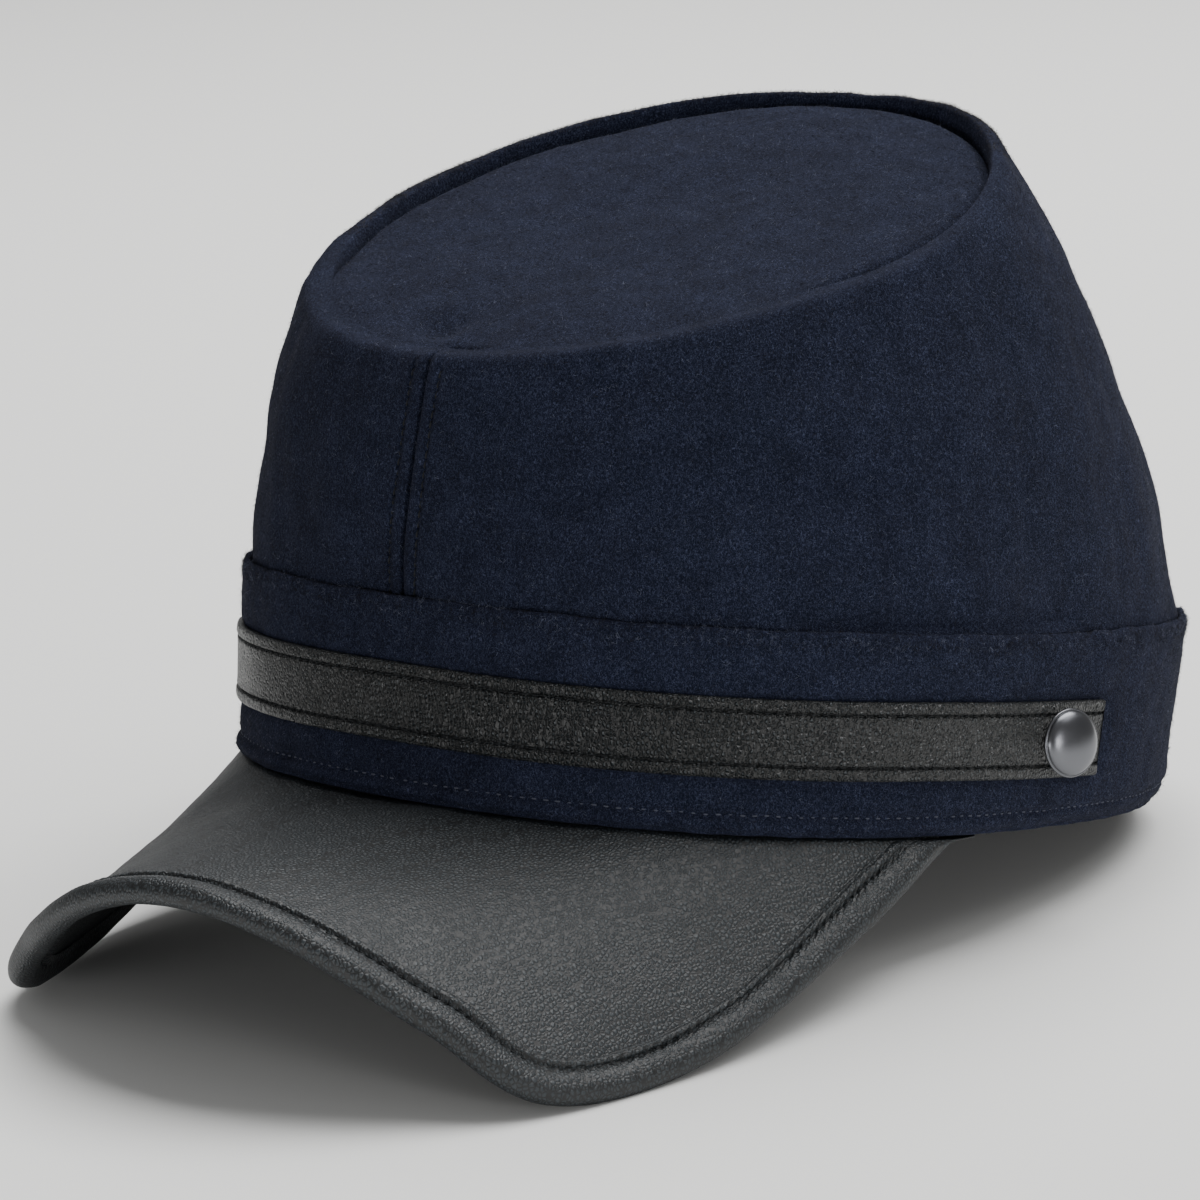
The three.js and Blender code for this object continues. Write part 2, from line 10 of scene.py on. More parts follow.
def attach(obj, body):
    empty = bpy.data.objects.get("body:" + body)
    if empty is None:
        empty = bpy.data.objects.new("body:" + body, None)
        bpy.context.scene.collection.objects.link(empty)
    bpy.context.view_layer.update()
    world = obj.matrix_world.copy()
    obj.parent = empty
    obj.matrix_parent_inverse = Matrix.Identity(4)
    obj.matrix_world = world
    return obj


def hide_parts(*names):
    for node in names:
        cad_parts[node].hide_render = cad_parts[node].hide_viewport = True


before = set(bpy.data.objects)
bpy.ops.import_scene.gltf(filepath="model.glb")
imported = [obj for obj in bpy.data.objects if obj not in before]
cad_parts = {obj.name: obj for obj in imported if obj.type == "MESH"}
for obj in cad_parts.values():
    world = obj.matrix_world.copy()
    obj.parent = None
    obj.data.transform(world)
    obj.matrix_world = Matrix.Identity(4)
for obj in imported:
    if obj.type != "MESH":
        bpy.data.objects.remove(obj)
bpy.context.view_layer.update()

bl_info = {
    "name": "Kepi",
    "version": (1, 0, 0),
    "blender": (4, 5, 0),
    "location": "View3D > Sidebar > Kepi",
    "description": "Builds a wool forage cap with a leather peak around its CAD frame",
    "category": "Add Mesh",
}

MM = 0.001
SEED = 20

# Places and forms that the CAD solids share. The hat's own frame has its origin at the centre
# of the band's lower edge, +Z along the hat's axis, the front at -Y and the wearer's left at +X.
# A bearing is an angle round the hat's axis in degrees: 0 at the front, 90 at the left.
BAND_ROUNDNESS = 2.25
BAND_FLARE = 2.13 / 40
CLEARANCE = 0.3 * MM
CROWN_TUCK = 11 * MM
CROWN_BULGE_PEAK = 0.6
CROWN_ROLL_LENGTH = 0.08
CROWN_START = 1.2 * MM
SEAM_LEAN_BASE = -1.7
SEAM_LEAN_TIP = 2.2
TIP_CENTRE = np.array([0, -31.8, 113.0]) * MM
WELT_DROP = 1.0 * MM
TIP_SPREAD = {"bearing": 98, "width": 26, "out": 2.8 * MM}
WELT_CREST = 1.4 * MM
WELT_ROWS = {
    "bearing": [0, 45, 90, 145, 180],
    "height": [1.0, 1.3, 2.6, 3.2, 1.8],
    "shoulder": [4.8, 4.8, 4.4, 3.2, 3.0],
}
WELT_DIP = {"bearing": 84, "width": 24, "down": 1.9 * MM}
WALL_HEIGHT = 70 * MM
SEAM_STITCHES = 3.1 * MM

# Soft folds of the crown's wall: from one place to another, each a bearing and a level from 0
# at the band to 1 at the tip, with a width and a rise in millimetres. A hollow's rise is negative.
FOLDS = [
    {"from": (16, 0.50), "to": (64, 0.47), "width": 9, "rise": -1.6},
    {"from": (18, 0.20), "to": (66, 0.40), "width": 9, "rise": 1.1},
    {"from": (21, 0.95), "to": (60, 0.80), "width": 8, "rise": -0.9},
    {"from": (50, 0.70), "to": (78, 0.64), "width": 13, "rise": 1.2},
    {"from": (45, 0.02), "to": (95, 0.02), "width": 4, "rise": -1.2},
    {"from": (44, 0.15), "to": (80, 0.13), "width": 6, "rise": 0.8},
    {"from": (112, 0.30), "to": (140, 0.26), "width": 10, "rise": 1.2},
    {"from": (112, 0.50), "to": (140, 0.54), "width": 9, "rise": -0.5},
    {"from": (-26, 0.45), "to": (-60, 0.52), "width": 9, "rise": -0.5},
    {"from": (-80, 0.25), "to": (-130, 0.32), "width": 10, "rise": 1.1},
    {"from": (-90, 0.60), "to": (-150, 0.55), "width": 11, "rise": -1.2},
    {"from": (160, 0.62), "to": (200, 0.55), "width": 12, "rise": -1.1},
]

# Dents of the tip, in millimetres: along its length (front is positive) and across it.
TIP_DENTS = [
    {"along": 66.5, "across": -5, "width": 5.5, "depth": 4.0},
    {"along": -6, "across": 54, "width": 6, "depth": 1.0},
    {"along": -22, "across": 50, "width": 6, "depth": 0.9},
    {"along": 10, "across": -6, "width": 26, "depth": 1.4},
]

# How open the tip's seam shows at each bearing, from the wearer's right at -180 round the front:
# the nap closes over it in front, and behind it is a plain dark line.
SEAM_SHOWS = {
    "bearing": [-180, -85, -62, -48, 1, 4, 8, 12, 62, 70, 76, 180],
    "open": [1, 1, 0.8, 0, 0, 0.8, 0.8, 0, 0, 0.6, 1, 1],
}
SEAM_GAP = 0.35 * MM
SEAM_DEPTH = 1.3 * MM
TIP_FLARE = 1.3 * MM

# The peak: at each bearing the pitch is its slope down, the fan turns it towards the side and
# the length in millimetres runs to its edge. Past its last visible place it runs in under the
# band, where a length is negative. The binding's roll is highest at its crest, and its stitches
# lie in a groove, each at a distance in from the edge.
BOARD_END = 65.6
BINDING_END = 71
PEAK_START_INSET = 0.6 * MM
PEAK_SINK = 0.35 * MM
BINDING_CREST = 2.9 * MM
GROOVE = 6.7 * MM
PEAK_ROWS = {
    "bearing": [0, 14, 28, 38, 47, 57, 64, 69.8, 74],
    "pitch": [10.6, 14.9, 26.1, 35.7, 42.8, 45.7, 42.3, 34.6, 30.0],
    "fan": [0, 0.1, 1.8, 5.0, 9.7, 17.7, 25.2, 32.9, 38.0],
    "length": [66.6, 66.9, 69.9, 73.2, 54.7, 20.3, 4.3, -4.0, -9.0],
}

# The height of the band's hem stitches, and how far each button leans forward and up.
HEM = 4.0 * MM
BUTTON_LEAN = math.radians(17)
BUTTON_LIFT = math.radians(8)

# The cap stands on the peak's two corners and the band's back edge.
STANDING_TILT = math.radians(11.07)
STANDING_LIFT = 19.08 * MM
STANDING_SHIFT = 28.41 * MM

# The camera of the photograph, in the frame of the standing cap.
CAMERA_AZIMUTH = math.radians(37.125)
CAMERA_ELEVATION = math.radians(13.981)
CAMERA_ROLL = math.radians(-2.424)
CAMERA_DISTANCE = 1.0
CAMERA_AIM = Vector((-0.02259, 0.02337, 0.05399))
CAMERA_LENS = 143.88

# The stage, in metres and watts. The paper's middle line lies beside the line of sight, and the
# paper fades into the room between two distances from it, which grow with the distance along it.
FLOOR_SIZE = 12
PAPER_ASIDE = 0.09
PAPER_FADE = (0.23, 0.45)
PAPER_GROWTH = 0.14
SKY_STRENGTH = 0.22
CAP_MIDDLE = (0, 0, 0.07)
LIGHTS = [
    {"name": "overhead", "place": (0.0, 0.9, 2.1), "aim": (-0.05, 0.15, 0),
     "size": (2.2, 1.8), "power": 86},
    {"name": "right", "place": (1.0, 0.58, 1.38), "aim": CAP_MIDDLE,
     "size": (0.9, 0.7), "power": 5},
    {"name": "side", "place": (1.15, -0.42, 0.22), "aim": CAP_MIDDLE,
     "size": (0.32, 0.3), "power": 3},
    {"name": "low", "place": (-0.1, -1.5, 0.14), "aim": (0, 0, 0.02),
     "size": (1.4, 0.22), "power": 6.5},
]


def hex_colour(text):
    """sRGB hex text such as "#1c2036" as a linear RGBA tuple."""
    srgb = np.array([int(text[i:i + 2], 16) for i in (1, 3, 5)]) / 255
    linear = np.where(srgb <= 0.04045, srgb / 12.92, ((srgb + 0.055) / 1.055) ** 2.4)
    return (*linear.tolist(), 1.0)


def length(name, description, millimetres):
    """A property for a length, whose default is given in millimetres."""
    return FloatProperty(
        name=name, description=description, default=millimetres * MM,
        min=0, unit="LENGTH", precision=5,
    )


def colour(name, description, text):
    """A property for a colour, whose default is sRGB hex text."""
    return FloatVectorProperty(
        name=name, description=description, default=hex_colour(text),
        size=4, min=0, max=1, subtype="COLOR",
    )


class KepiSizes(bpy.types.PropertyGroup):
    """Sizes of the cap's pieces."""

    band_half_length: length("Band half length", "From the band's centre to its front", 103)
    band_half_width: length("Band half width", "From the band's centre to its side", 86.5)
    band_height: length("Band height", "Height of the wool band", 38.9)
    band_thickness: length("Band thickness", "Thickness of the band's folded cloth", 2.6)
    cloth: length("Cloth", "Thickness of the crown's wool cloth", 2.0)
    bulge_front: length("Front bulge", "How far the crown's front swells out", 1.6)
    bulge_back: length("Back bulge", "How far the crown's back swells out", 6.2)
    roll: length("Crown roll", "How far the wall rolls out just above the band", 1.9)
    tip_half_length: length("Tip half length", "Half the length of the oval top", 74.1)
    tip_half_width: length("Tip half width", "Half the width of the oval top", 61.4)
    tip_pillow: length("Tip pillow", "How far the top panel swells above its seam", 3.2)
    tip_slope: FloatProperty(
        name="Tip slope", description="Slope of the top down to the front",
        default=math.radians(21.33), subtype="ANGLE",
    )
    strap_lower: length("Strap lower edge", "Height of the strap's lower edge", 11.0)
    strap_upper: length("Strap upper edge", "Height of the strap's upper edge", 26.3)
    strap_thickness: length("Strap thickness", "Thickness of the strap at its padded edges", 1.4)
    strap_press: length("Strap press", "How deep the strap lies in the band's cloth", 0.8)
    strap_border: length("Strap border", "From the strap's edge to its stitches", 2.6)
    strap_end: FloatProperty(
        name="Strap end", description="Bearing of the strap's ends",
        default=math.radians(95.3), subtype="ANGLE",
    )
    button_radius: length("Button radius", "Radius of the domed buttons", 6.8)
    button_height: length("Button height", "Height of the domed buttons", 3.4)
    button_bearing: FloatProperty(
        name="Button bearing", description="Bearing of the buttons",
        default=math.radians(85.3), subtype="ANGLE",
    )
    peak_thickness: length("Peak thickness", "Thickness of the leather peak", 2.8)
    binding_width: length("Binding width", "From the peak's edge to the binding's seam", 9.4)
    binding_thickness: length("Binding thickness", "Thickness of the padded binding", 5.2)
    band_pitch: length("Band stitch", "Length of one stitch of the band's hem", 2.35)
    seam_pitch: length("Seam stitch", "Length of one stitch beside the front seam", 3.0)
    strap_pitch: length("Strap stitch", "Length of one stitch of the strap", 2.3)
    peak_pitch: length("Peak stitch", "Length of one stitch of the peak's binding", 2.4)
    nap_count: IntProperty(
        name="Nap fibres", description="Number of loose fibres on the crown", default=46000, min=0,
    )


class KepiFinishes(bpy.types.PropertyGroup):
    """Colours and grains of the cap's materials."""

    wool_dark: colour("Wool, dark", "Darkest fibres of the navy wool", "#0b0e18")
    wool_mid: colour("Wool", "Main colour of the navy wool", "#161a29")
    wool_light: colour("Wool, light", "Lightest fibres of the navy wool", "#4a5069")
    fibre_brown: colour("Fibre, brown", "Brownest loose fibres", "#1a1713")
    # Painted glow: brown tone of the rim's fibres, standing for the backlit haze at the rim
    fibre_painted_rim_glow: colour("Fibre, bloom", "Brown fibres of the rim", "#3f3b34")
    fibre_pale: colour("Fibre, pale", "Palest loose fibres", "#666b7c")
    leather: colour("Leather", "Black leather of the peak and the strap", "#262c30")
    # Painted shade: the colour put into the leather's creases between the pebbles
    painted_crease_shade: colour("Leather creases", "Creases between the leather's pebbles", "#060708")
    button: colour("Button", "Dark plated metal of the buttons", "#6c6d71")
    black_thread: colour("Black thread", "Thread of the strap, peak and seams", "#191b1e")
    grey_thread: colour("Grey thread", "Thread of the band's hem", "#454855")
    pebble: length("Pebble", "Size of one pebble of the peak's leather", 0.85)
    fine_pebble: length("Fine pebble", "Size of one pebble of the strap's leather", 0.75)
    fibre: length("Fibre", "Thickness of one tuft of wool fibres as drawn", 0.28)
    floor: colour("Floor", "White paper that the cap stands on", "#f4f4f2")
    room: colour("Room", "Grey floor beside the paper", "#545452")


def unit(vectors):
    """Each vector divided by its own length."""
    size = np.linalg.norm(vectors, axis=-1, keepdims=True)
    return vectors / np.maximum(size, 1e-12)


def smooth_column(rows, column, at):
    """A column of a table at values of its bearing: a cubic through its rows whose slope at a
    row is that between the rows beside it, and which starts level."""
    x = np.asarray(rows["bearing"], float)
    y = np.asarray(rows[column], float)
    slope = np.zeros_like(x)
    slope[1:-1] = (y[2:] - y[:-2]) / (x[2:] - x[:-2])
    slope[-1] = (y[-1] - y[-2]) / (x[-1] - x[-2])
    at = np.clip(at, x[0], x[-1])
    i = np.clip(np.searchsorted(x, at, side="right") - 1, 0, len(x) - 2)
    span = x[i + 1] - x[i]
    t = (at - x[i]) / span
    u = 1 - t
    start = y[i] * u * u * (1 + 2 * t) + slope[i] * span * t * u * u
    end = y[i + 1] * t * t * (1 + 2 * u) - slope[i + 1] * span * t * t * u
    return start + end


def half_bearing(bearing):
    """A bearing from 0 to 180 for both sides."""
    turned = np.mod(bearing, 360)
    return np.minimum(turned, 360 - turned)


def outward(bearing):
    """Unit vectors away from the hat's axis at bearings."""
    angle = np.radians(bearing)
    return np.stack([np.sin(angle), -np.cos(angle), np.zeros_like(angle)], -1)


def band_point(k, bearing, inset, height):
    """A superellipse round the axis: 1 / radius = (|sin / half width| ^ n + |cos / half length|
    ^ n) ^ (1 / n), with both halves grown by the band's flare and less the inset."""
    bearing, inset, height = np.broadcast_arrays(
        *(np.asarray(value, float) for value in (bearing, inset, height)))
    grow = BAND_FLARE * height - inset
    angle = np.radians(bearing)
    across = np.abs(np.sin(angle) / (k.band_half_width + grow))
    along = np.abs(np.cos(angle) / (k.band_half_length + grow))
    radius = (across ** BAND_ROUNDNESS + along ** BAND_ROUNDNESS) ** (-1 / BAND_ROUNDNESS)
    point = outward(bearing) * radius[..., None]
    point[..., 2] = height
    return point


def tip_place(k, along, across, up):
    """A place in the tip's sloping plane: down to the front, across to the left, and up."""
    slope = k.tip_slope
    to_front = np.array([0, -math.cos(slope), -math.sin(slope)])
    to_left = np.array([1.0, 0, 0])
    normal = np.array([0, -math.sin(slope), math.cos(slope)])
    along, across, up = np.broadcast_arrays(along, across, up)
    return (TIP_CENTRE + along[..., None] * to_front + across[..., None] * to_left
            + up[..., None] * normal)


def tip_spread(bearing):
    """How far the tip's seam lies outside its oval at a bearing."""
    turned = (bearing - TIP_SPREAD["bearing"] + 180) % 360 - 180
    return TIP_SPREAD["out"] * bell(turned, TIP_SPREAD["width"])


def seam_point(k, bearing, out, up):
    """A point beside the tip's seam: out from it in its plane, and up from it."""
    angle = np.radians(bearing)
    grow = out + tip_spread(bearing)
    along = (k.tip_half_length + grow) * np.cos(angle)
    across = (k.tip_half_width + grow) * np.sin(angle)
    return tip_place(k, along, across, up)


def welt_height(bearing):
    """Height of the welt's crest over the seam: lower where the crown is worn on the left."""
    dip = WELT_DIP["down"] * bell(bearing - WELT_DIP["bearing"], WELT_DIP["width"])
    return smooth_column(WELT_ROWS, "height", half_bearing(bearing)) * MM - dip


def seam_open(bearing):
    """How open the tip's seam shows at bearings from -180 to 180."""
    return np.interp(bearing, SEAM_SHOWS["bearing"], SEAM_SHOWS["open"])


def run_lengths(path):
    """Length along a path of points from its start to each point."""
    return np.concatenate([[0], np.cumsum(np.linalg.norm(np.diff(path, axis=0), axis=-1))])


def waves(points, wavelength, seed, count=14):
    """Smooth unevenness from -1 to 1: the mean of sine waves through space, each with its own
    random direction, phase and a length near the given one."""
    draw = np.random.default_rng(seed)
    directions = unit(draw.normal(size=(count, 3)))
    lengths = wavelength * draw.uniform(0.75, 1.5, count)
    phases = draw.uniform(0, 2 * math.pi, count)
    total = np.zeros(points.shape[:-1])
    for direction, size, phase in zip(directions, lengths, phases):
        total += np.sin(points @ direction * (2 * math.pi / size) + phase)
    return total / math.sqrt(count)


def bell(distance, width):
    """1 at distance 0, falling off as exp(-(distance / width) ^ 2)."""
    return np.exp(-(distance / width) ** 2)


def fold_rise(bearing, level):
    """Rise of all folds, each a ridge of bell section along a straight run on the wall laid
    flat, taken as 90 mm in radius and in height."""
    wall = 90
    rise = np.zeros(np.broadcast(bearing, level).shape)
    for fold in FOLDS:
        start = np.array([math.radians(fold["from"][0]), fold["from"][1]]) * wall
        run = np.array([math.radians(fold["to"][0]), fold["to"][1]]) * wall - start
        for turn in (-360, 0, 360):
            x = np.radians(bearing + turn) * wall - start[0]
            y = level * wall - start[1]
            along = np.clip((x * run[0] + y * run[1]) / (run @ run), 0.12, 0.88)
            away = np.hypot(x - along * run[0], y - along * run[1])
            rise += fold["rise"] * bell(away, fold["width"])
    return rise * np.minimum(1, 12 * (1 - level)) * np.minimum(1, 30 * level) * MM


def top_thinning(k, height):
    """How much thinner the band is towards its top edge, where the crown comes out of it."""
    return CROWN_START * np.clip((height - k.band_height + 9 * MM) / (9 * MM), 0, 1) ** 1.5


def crown_point(k, bearing, level):
    """The wall's outer face: a straight loft from the band's oval to the tip's shoulder, plus a
    bulge 4 s (1 - s) with s skewed to peak high up, a quick roll over the band, and folds."""
    base = band_point(k, bearing + SEAM_LEAN_BASE, k.band_thickness + CLEARANCE, k.band_height)
    seam = bearing + SEAM_LEAN_TIP
    shoulder = smooth_column(WELT_ROWS, "shoulder", half_bearing(seam)) * MM
    top = seam_point(k, seam, shoulder, -WELT_DROP)
    to_back = (1 - np.cos(np.radians(bearing))) / 2
    bulge = k.bulge_front + (k.bulge_back - k.bulge_front) * to_back
    skewed = level ** (math.log(0.5) / math.log(CROWN_BULGE_PEAK))
    roll = k.roll - (k.roll - CROWN_START) * np.exp(-level / CROWN_ROLL_LENGTH)
    out = roll + bulge * 4 * skewed * (1 - skewed) + fold_rise(bearing, level)
    return base + (top - base) * level[..., None] + outward(bearing) * out[..., None]


def stand(points, resting=False):
    """The hat's own frame turned back about X and lifted onto the floor, in metres. What rests
    is flattened there: no point lies below the floor."""
    cos, sin = math.cos(STANDING_TILT), math.sin(STANDING_TILT)
    x, y, z = points[..., 0], points[..., 1], points[..., 2]
    placed = np.stack([x, y * cos + z * sin + STANDING_SHIFT,
                       z * cos - y * sin + STANDING_LIFT], -1)
    if resting:
        placed[..., 2] = np.maximum(placed[..., 2], 0)
    return placed


def grid_normals(grid):
    """Unit normals of a grid of points, from the cross product of its two directions."""
    return unit(np.cross(np.gradient(grid, axis=0), np.gradient(grid, axis=1)))


def bezier(a, b, c, d, t):
    """Cubic curves from a to d with handles b and c, at each t along a new second axis."""
    t = t[None, :, None]
    a, b, c, d = (p[:, None, :] for p in (a, b, c, d))
    return a * (1 - t) ** 3 + 3 * b * t * (1 - t) ** 2 + 3 * c * t * t * (1 - t) + d * t ** 3


def crowded(count, start, end, pull=0.85):
    """Values from start to end that crowd at both ends: t - pull sin(2 pi t) / (2 pi)."""
    t = np.linspace(0, 1, count)
    t = t - pull * np.sin(2 * math.pi * t) / (2 * math.pi)
    return start + (end - start) * t


def mesh_object(name, points, faces, material, merge=True):
    """A piece in one mesh, in place, with its faces turned outward. faces is an array with one
    face a row; doubled points at poles are merged."""
    mesh = bpy.data.meshes.new(name)
    mesh.from_pydata(points.reshape(-1, 3), [], faces)
    work = bmesh.new()
    work.from_mesh(mesh)
    if merge:
        bmesh.ops.remove_doubles(work, verts=work.verts, dist=1e-7)
    if work.calc_volume(signed=True) < 0:
        bmesh.ops.reverse_faces(work, faces=work.faces)
    work.to_mesh(mesh)
    work.free()
    mesh.polygons.foreach_set("use_smooth", np.full(len(mesh.polygons), merge))
    mesh.materials.append(material)
    mesh.update()
    piece = bpy.data.objects.new(name, mesh)
    bpy.context.scene.collection.objects.link(piece)
    return piece


def lofted(name, grid, ring, material):
    """A closed body through rows that are closed loops of points: quads between neighbouring
    rows, and either the last row joined to the first, as round a ring, or a ladder of quads
    over the first row and over the last."""
    rows, count = grid.shape[:2]
    i = np.arange(rows if ring else rows - 1)[:, None] * count
    j = np.arange(count)[None, :]
    after = (i + count) % (rows * count)
    right = (j + 1) % count
    faces = np.stack([i + j, after + j, after + right, i + right], -1).reshape(-1, 4)
    if not ring:
        rung = np.arange(count // 2 - 1)
        ladder = np.stack([rung, rung + 1, count - 2 - rung, count - 1 - rung], -1)
        last = (rows - 1) * count + ladder[:, ::-1]
        faces = np.concatenate([faces, ladder, last])
    return mesh_object(name, grid, faces, material)


def seated(piece, node):
    """The piece moves with the cap, and stands for its CAD node if it has one."""
    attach(piece, "root")
    if node:
        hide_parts(node)


def add_body(start, node, grid, ring, material, resting=False):
    """The body of a CAD node, named for its stuff and its node, through a grid of the hat's own
    frame."""
    seated(lofted(start + node, stand(grid, resting), ring, material), node)


def add_node(tree, kind, inputs=None, links=None, **settings):
    """Adds one node with its settings, its inputs' values, and links from other nodes' sockets."""
    node = tree.nodes.new(kind)
    for name, value in settings.items():
        setattr(node, name, value)
    for name, value in (inputs or {}).items():
        node.inputs[name].default_value = value
    for name, socket in (links or {}).items():
        tree.links.new(socket, node.inputs[name])
    return node


def new_material(name):
    """An empty node material and its tree."""
    material = bpy.data.materials.new(name)
    material.use_nodes = True
    material.node_tree.nodes.clear()
    return material, material.node_tree


def finish_material(tree, inputs, links):
    """Ends a material in a Principled shader with constant and linked inputs."""
    shader = add_node(tree, "ShaderNodeBsdfPrincipled", inputs, links)
    add_node(tree, "ShaderNodeOutputMaterial", links={"Surface": shader.outputs["BSDF"]})


def ramp(tree, source, stops):
    """A colour ramp with stops of (place, colour) on a socket."""
    node = add_node(tree, "ShaderNodeValToRGB", links={"Fac": source})
    elements = node.color_ramp.elements
    while len(elements) < len(stops):
        elements.new(0.5)
    for element, (place, tone) in zip(elements, stops):
        element.position = place
        element.color = tone
    return node.outputs["Color"]


def grey(level):
    """A grey of a level, as RGBA."""
    return (level, level, level, 1.0)


def felted_wool(finishes):
    """Felted wool cloth: fulled and brushed, so the weave is hidden by a matted nap that
    scatters light, with paler tufts and dark pits, and a faint brown sheen seen aslant."""
    name = "felted_navy_wool"
    if name in bpy.data.materials:
        return bpy.data.materials[name]
    material, tree = new_material(name)
    place = add_node(tree, "ShaderNodeTexCoord").outputs["Object"]
    fibre = 1 / finishes.fibre
    upright = add_node(tree, "ShaderNodeMapping",
                       {"Scale": (1, 0.7, 0.6), "Rotation": (-0.6, 0.4, 0.2)}, {"Vector": place})
    slanted = add_node(tree, "ShaderNodeMapping",
                       {"Scale": (1, 0.6, 0.75), "Rotation": (0.5, 0.3, 0.7)}, {"Vector": place})
    tufts = add_node(tree, "ShaderNodeTexNoise",
                     {"Scale": fibre, "Detail": 3.0, "Roughness": 0.7, "Distortion": 1.5},
                     {"Vector": upright.outputs["Vector"]})
    flecks = add_node(tree, "ShaderNodeTexNoise",
                      {"Scale": fibre * 0.45, "Detail": 3.0, "Roughness": 0.7, "Distortion": 2.5},
                      {"Vector": slanted.outputs["Vector"]})
    mottle = add_node(tree, "ShaderNodeTexNoise",
                      {"Scale": 1 / (7 * MM), "Detail": 3.0, "Roughness": 0.55},
                      {"Vector": place})
    base = ramp(tree, tufts.outputs["Fac"], [
        (0.28, finishes.wool_dark), (0.5, finishes.wool_mid), (0.76, finishes.wool_light)])
    pale = ramp(tree, flecks.outputs["Fac"], [(0.60, grey(0)), (0.76, grey(0.5))])
    flecked = add_node(tree, "ShaderNodeMix", data_type="RGBA", blend_type="MIX")
    tree.links.new(pale, flecked.inputs["Factor"])
    tree.links.new(base, flecked.inputs[6])
    flecked.inputs[7].default_value = finishes.wool_light
    shade = ramp(tree, mottle.outputs["Fac"], [(0.3, grey(0.78)), (0.7, grey(1.12))])
    shaded = add_node(tree, "ShaderNodeMix", {"Factor": 1.0}, data_type="RGBA",
                      blend_type="MULTIPLY")
    tree.links.new(flecked.outputs[2], shaded.inputs[6])
    tree.links.new(shade, shaded.inputs[7])
    height = add_node(tree, "ShaderNodeMath", {1: 0.6},
                      {0: flecks.outputs["Fac"], 2: tufts.outputs["Fac"]},
                      operation="MULTIPLY_ADD")
    bump = add_node(tree, "ShaderNodeBump", {"Strength": 0.55, "Distance": 0.35 * MM},
                    {"Height": height.outputs["Value"]})
    finish_material(tree, {
        "Roughness": 0.95, "Specular IOR Level": 0.08, "Sheen Weight": 0.03,
        "Sheen Roughness": 0.5, "Sheen Tint": hex_colour("#8d8078"),
    }, {"Base Color": shaded.outputs[2], "Normal": bump.outputs["Normal"]})
    return material


def pebbled_leather(finishes, name, pebble, relief, gloss_low, crease_shade_width):
    """Black corrected leather: dyed through, embossed with a pebble grain and finished with a satin
    top coat.
    The creases between the pebbles are painted darker as shade, so the pebble tops read lighter,
    and the bumped pebbles catch small highlights."""
    if name in bpy.data.materials:
        return bpy.data.materials[name]
    material, tree = new_material(name)
    place = add_node(tree, "ShaderNodeTexCoord").outputs["Object"]
    wander = add_node(tree, "ShaderNodeTexNoise",
                      {"Scale": 0.3 / pebble, "Detail": 1.0}, {"Vector": place})
    push = add_node(tree, "ShaderNodeVectorMath", {1: (0.5, 0.5, 0.5)},
                    {0: wander.outputs["Color"]}, operation="SUBTRACT")
    scaled = add_node(tree, "ShaderNodeVectorMath", {"Scale": 0.3 * pebble},
                      {0: push.outputs["Vector"]}, operation="SCALE")
    bent = add_node(tree, "ShaderNodeVectorMath",
                    links={0: place, 1: scaled.outputs["Vector"]}, operation="ADD")
    stretched = add_node(tree, "ShaderNodeMapping", {"Scale": (1.15, 1, 0.8)},
                         {"Vector": bent.outputs["Vector"]})
    pebbles = add_node(tree, "ShaderNodeTexVoronoi", {"Scale": 1 / pebble, "Randomness": 0.8},
                       {"Vector": stretched.outputs["Vector"]}, feature="DISTANCE_TO_EDGE")
    pores = add_node(tree, "ShaderNodeTexNoise",
                     {"Scale": 3.5 / pebble, "Detail": 2.0}, {"Vector": place})
    crease = add_node(tree, "ShaderNodeMapRange", {"From Max": 0.4, "To Min": 0.0, "To Max": 1.0},
                      {"Value": pebbles.outputs["Distance"]}, interpolation_type="SMOOTHSTEP")
    # Painted shade: the creases between the pebbles are coloured darker than the pebble tops
    dark = add_node(tree, "ShaderNodeMapRange", {"From Min": 0.02, "From Max": crease_shade_width},
                    {"Value": pebbles.outputs["Distance"]}, interpolation_type="SMOOTHSTEP")
    tone = add_node(tree, "ShaderNodeMix", data_type="RGBA")
    tree.links.new(dark.outputs["Result"], tone.inputs["Factor"])
    tone.inputs[6].default_value = finishes.painted_crease_shade
    tone.inputs[7].default_value = finishes.leather
    wear = add_node(tree, "ShaderNodeTexNoise",
                    {"Scale": 1 / (14 * MM), "Detail": 3.0}, {"Vector": place})
    gloss = add_node(tree, "ShaderNodeMapRange", {"To Min": gloss_low, "To Max": gloss_low + 0.14},
                     {"Value": wear.outputs["Fac"]})
    height = add_node(tree, "ShaderNodeMath", {1: 0.1},
                      {0: pores.outputs["Fac"], 2: crease.outputs["Result"]},
                      operation="MULTIPLY_ADD")
    bump = add_node(tree, "ShaderNodeBump", {"Strength": 1.0, "Distance": relief},
                    {"Height": height.outputs["Value"]})
    finish_material(tree, {"Specular IOR Level": 0.5, "IOR": 1.5}, {
        "Base Color": tone.outputs[2], "Roughness": gloss.outputs["Result"],
        "Normal": bump.outputs["Normal"]})
    return material


def loose_fibre(name, stops):
    """Single wool fibres off the cloth, unevenly dyed: pale and blue-grey ones give the cap its
    flecks.
    Dull brown ones set on the rim stand for the backlit haze of its fuzz, a painted glow."""
    if name in bpy.data.materials:
        return bpy.data.materials[name]
    material, tree = new_material(name)
    place = add_node(tree, "ShaderNodeTexCoord").outputs["Object"]
    dye = add_node(tree, "ShaderNodeTexNoise",
                   {"Scale": 1 / (1.5 * MM), "Detail": 2.0}, {"Vector": place})
    tone = ramp(tree, dye.outputs["Fac"], stops)
    finish_material(tree, {"Roughness": 0.8, "Specular IOR Level": 0.2}, {"Base Color": tone})
    return material


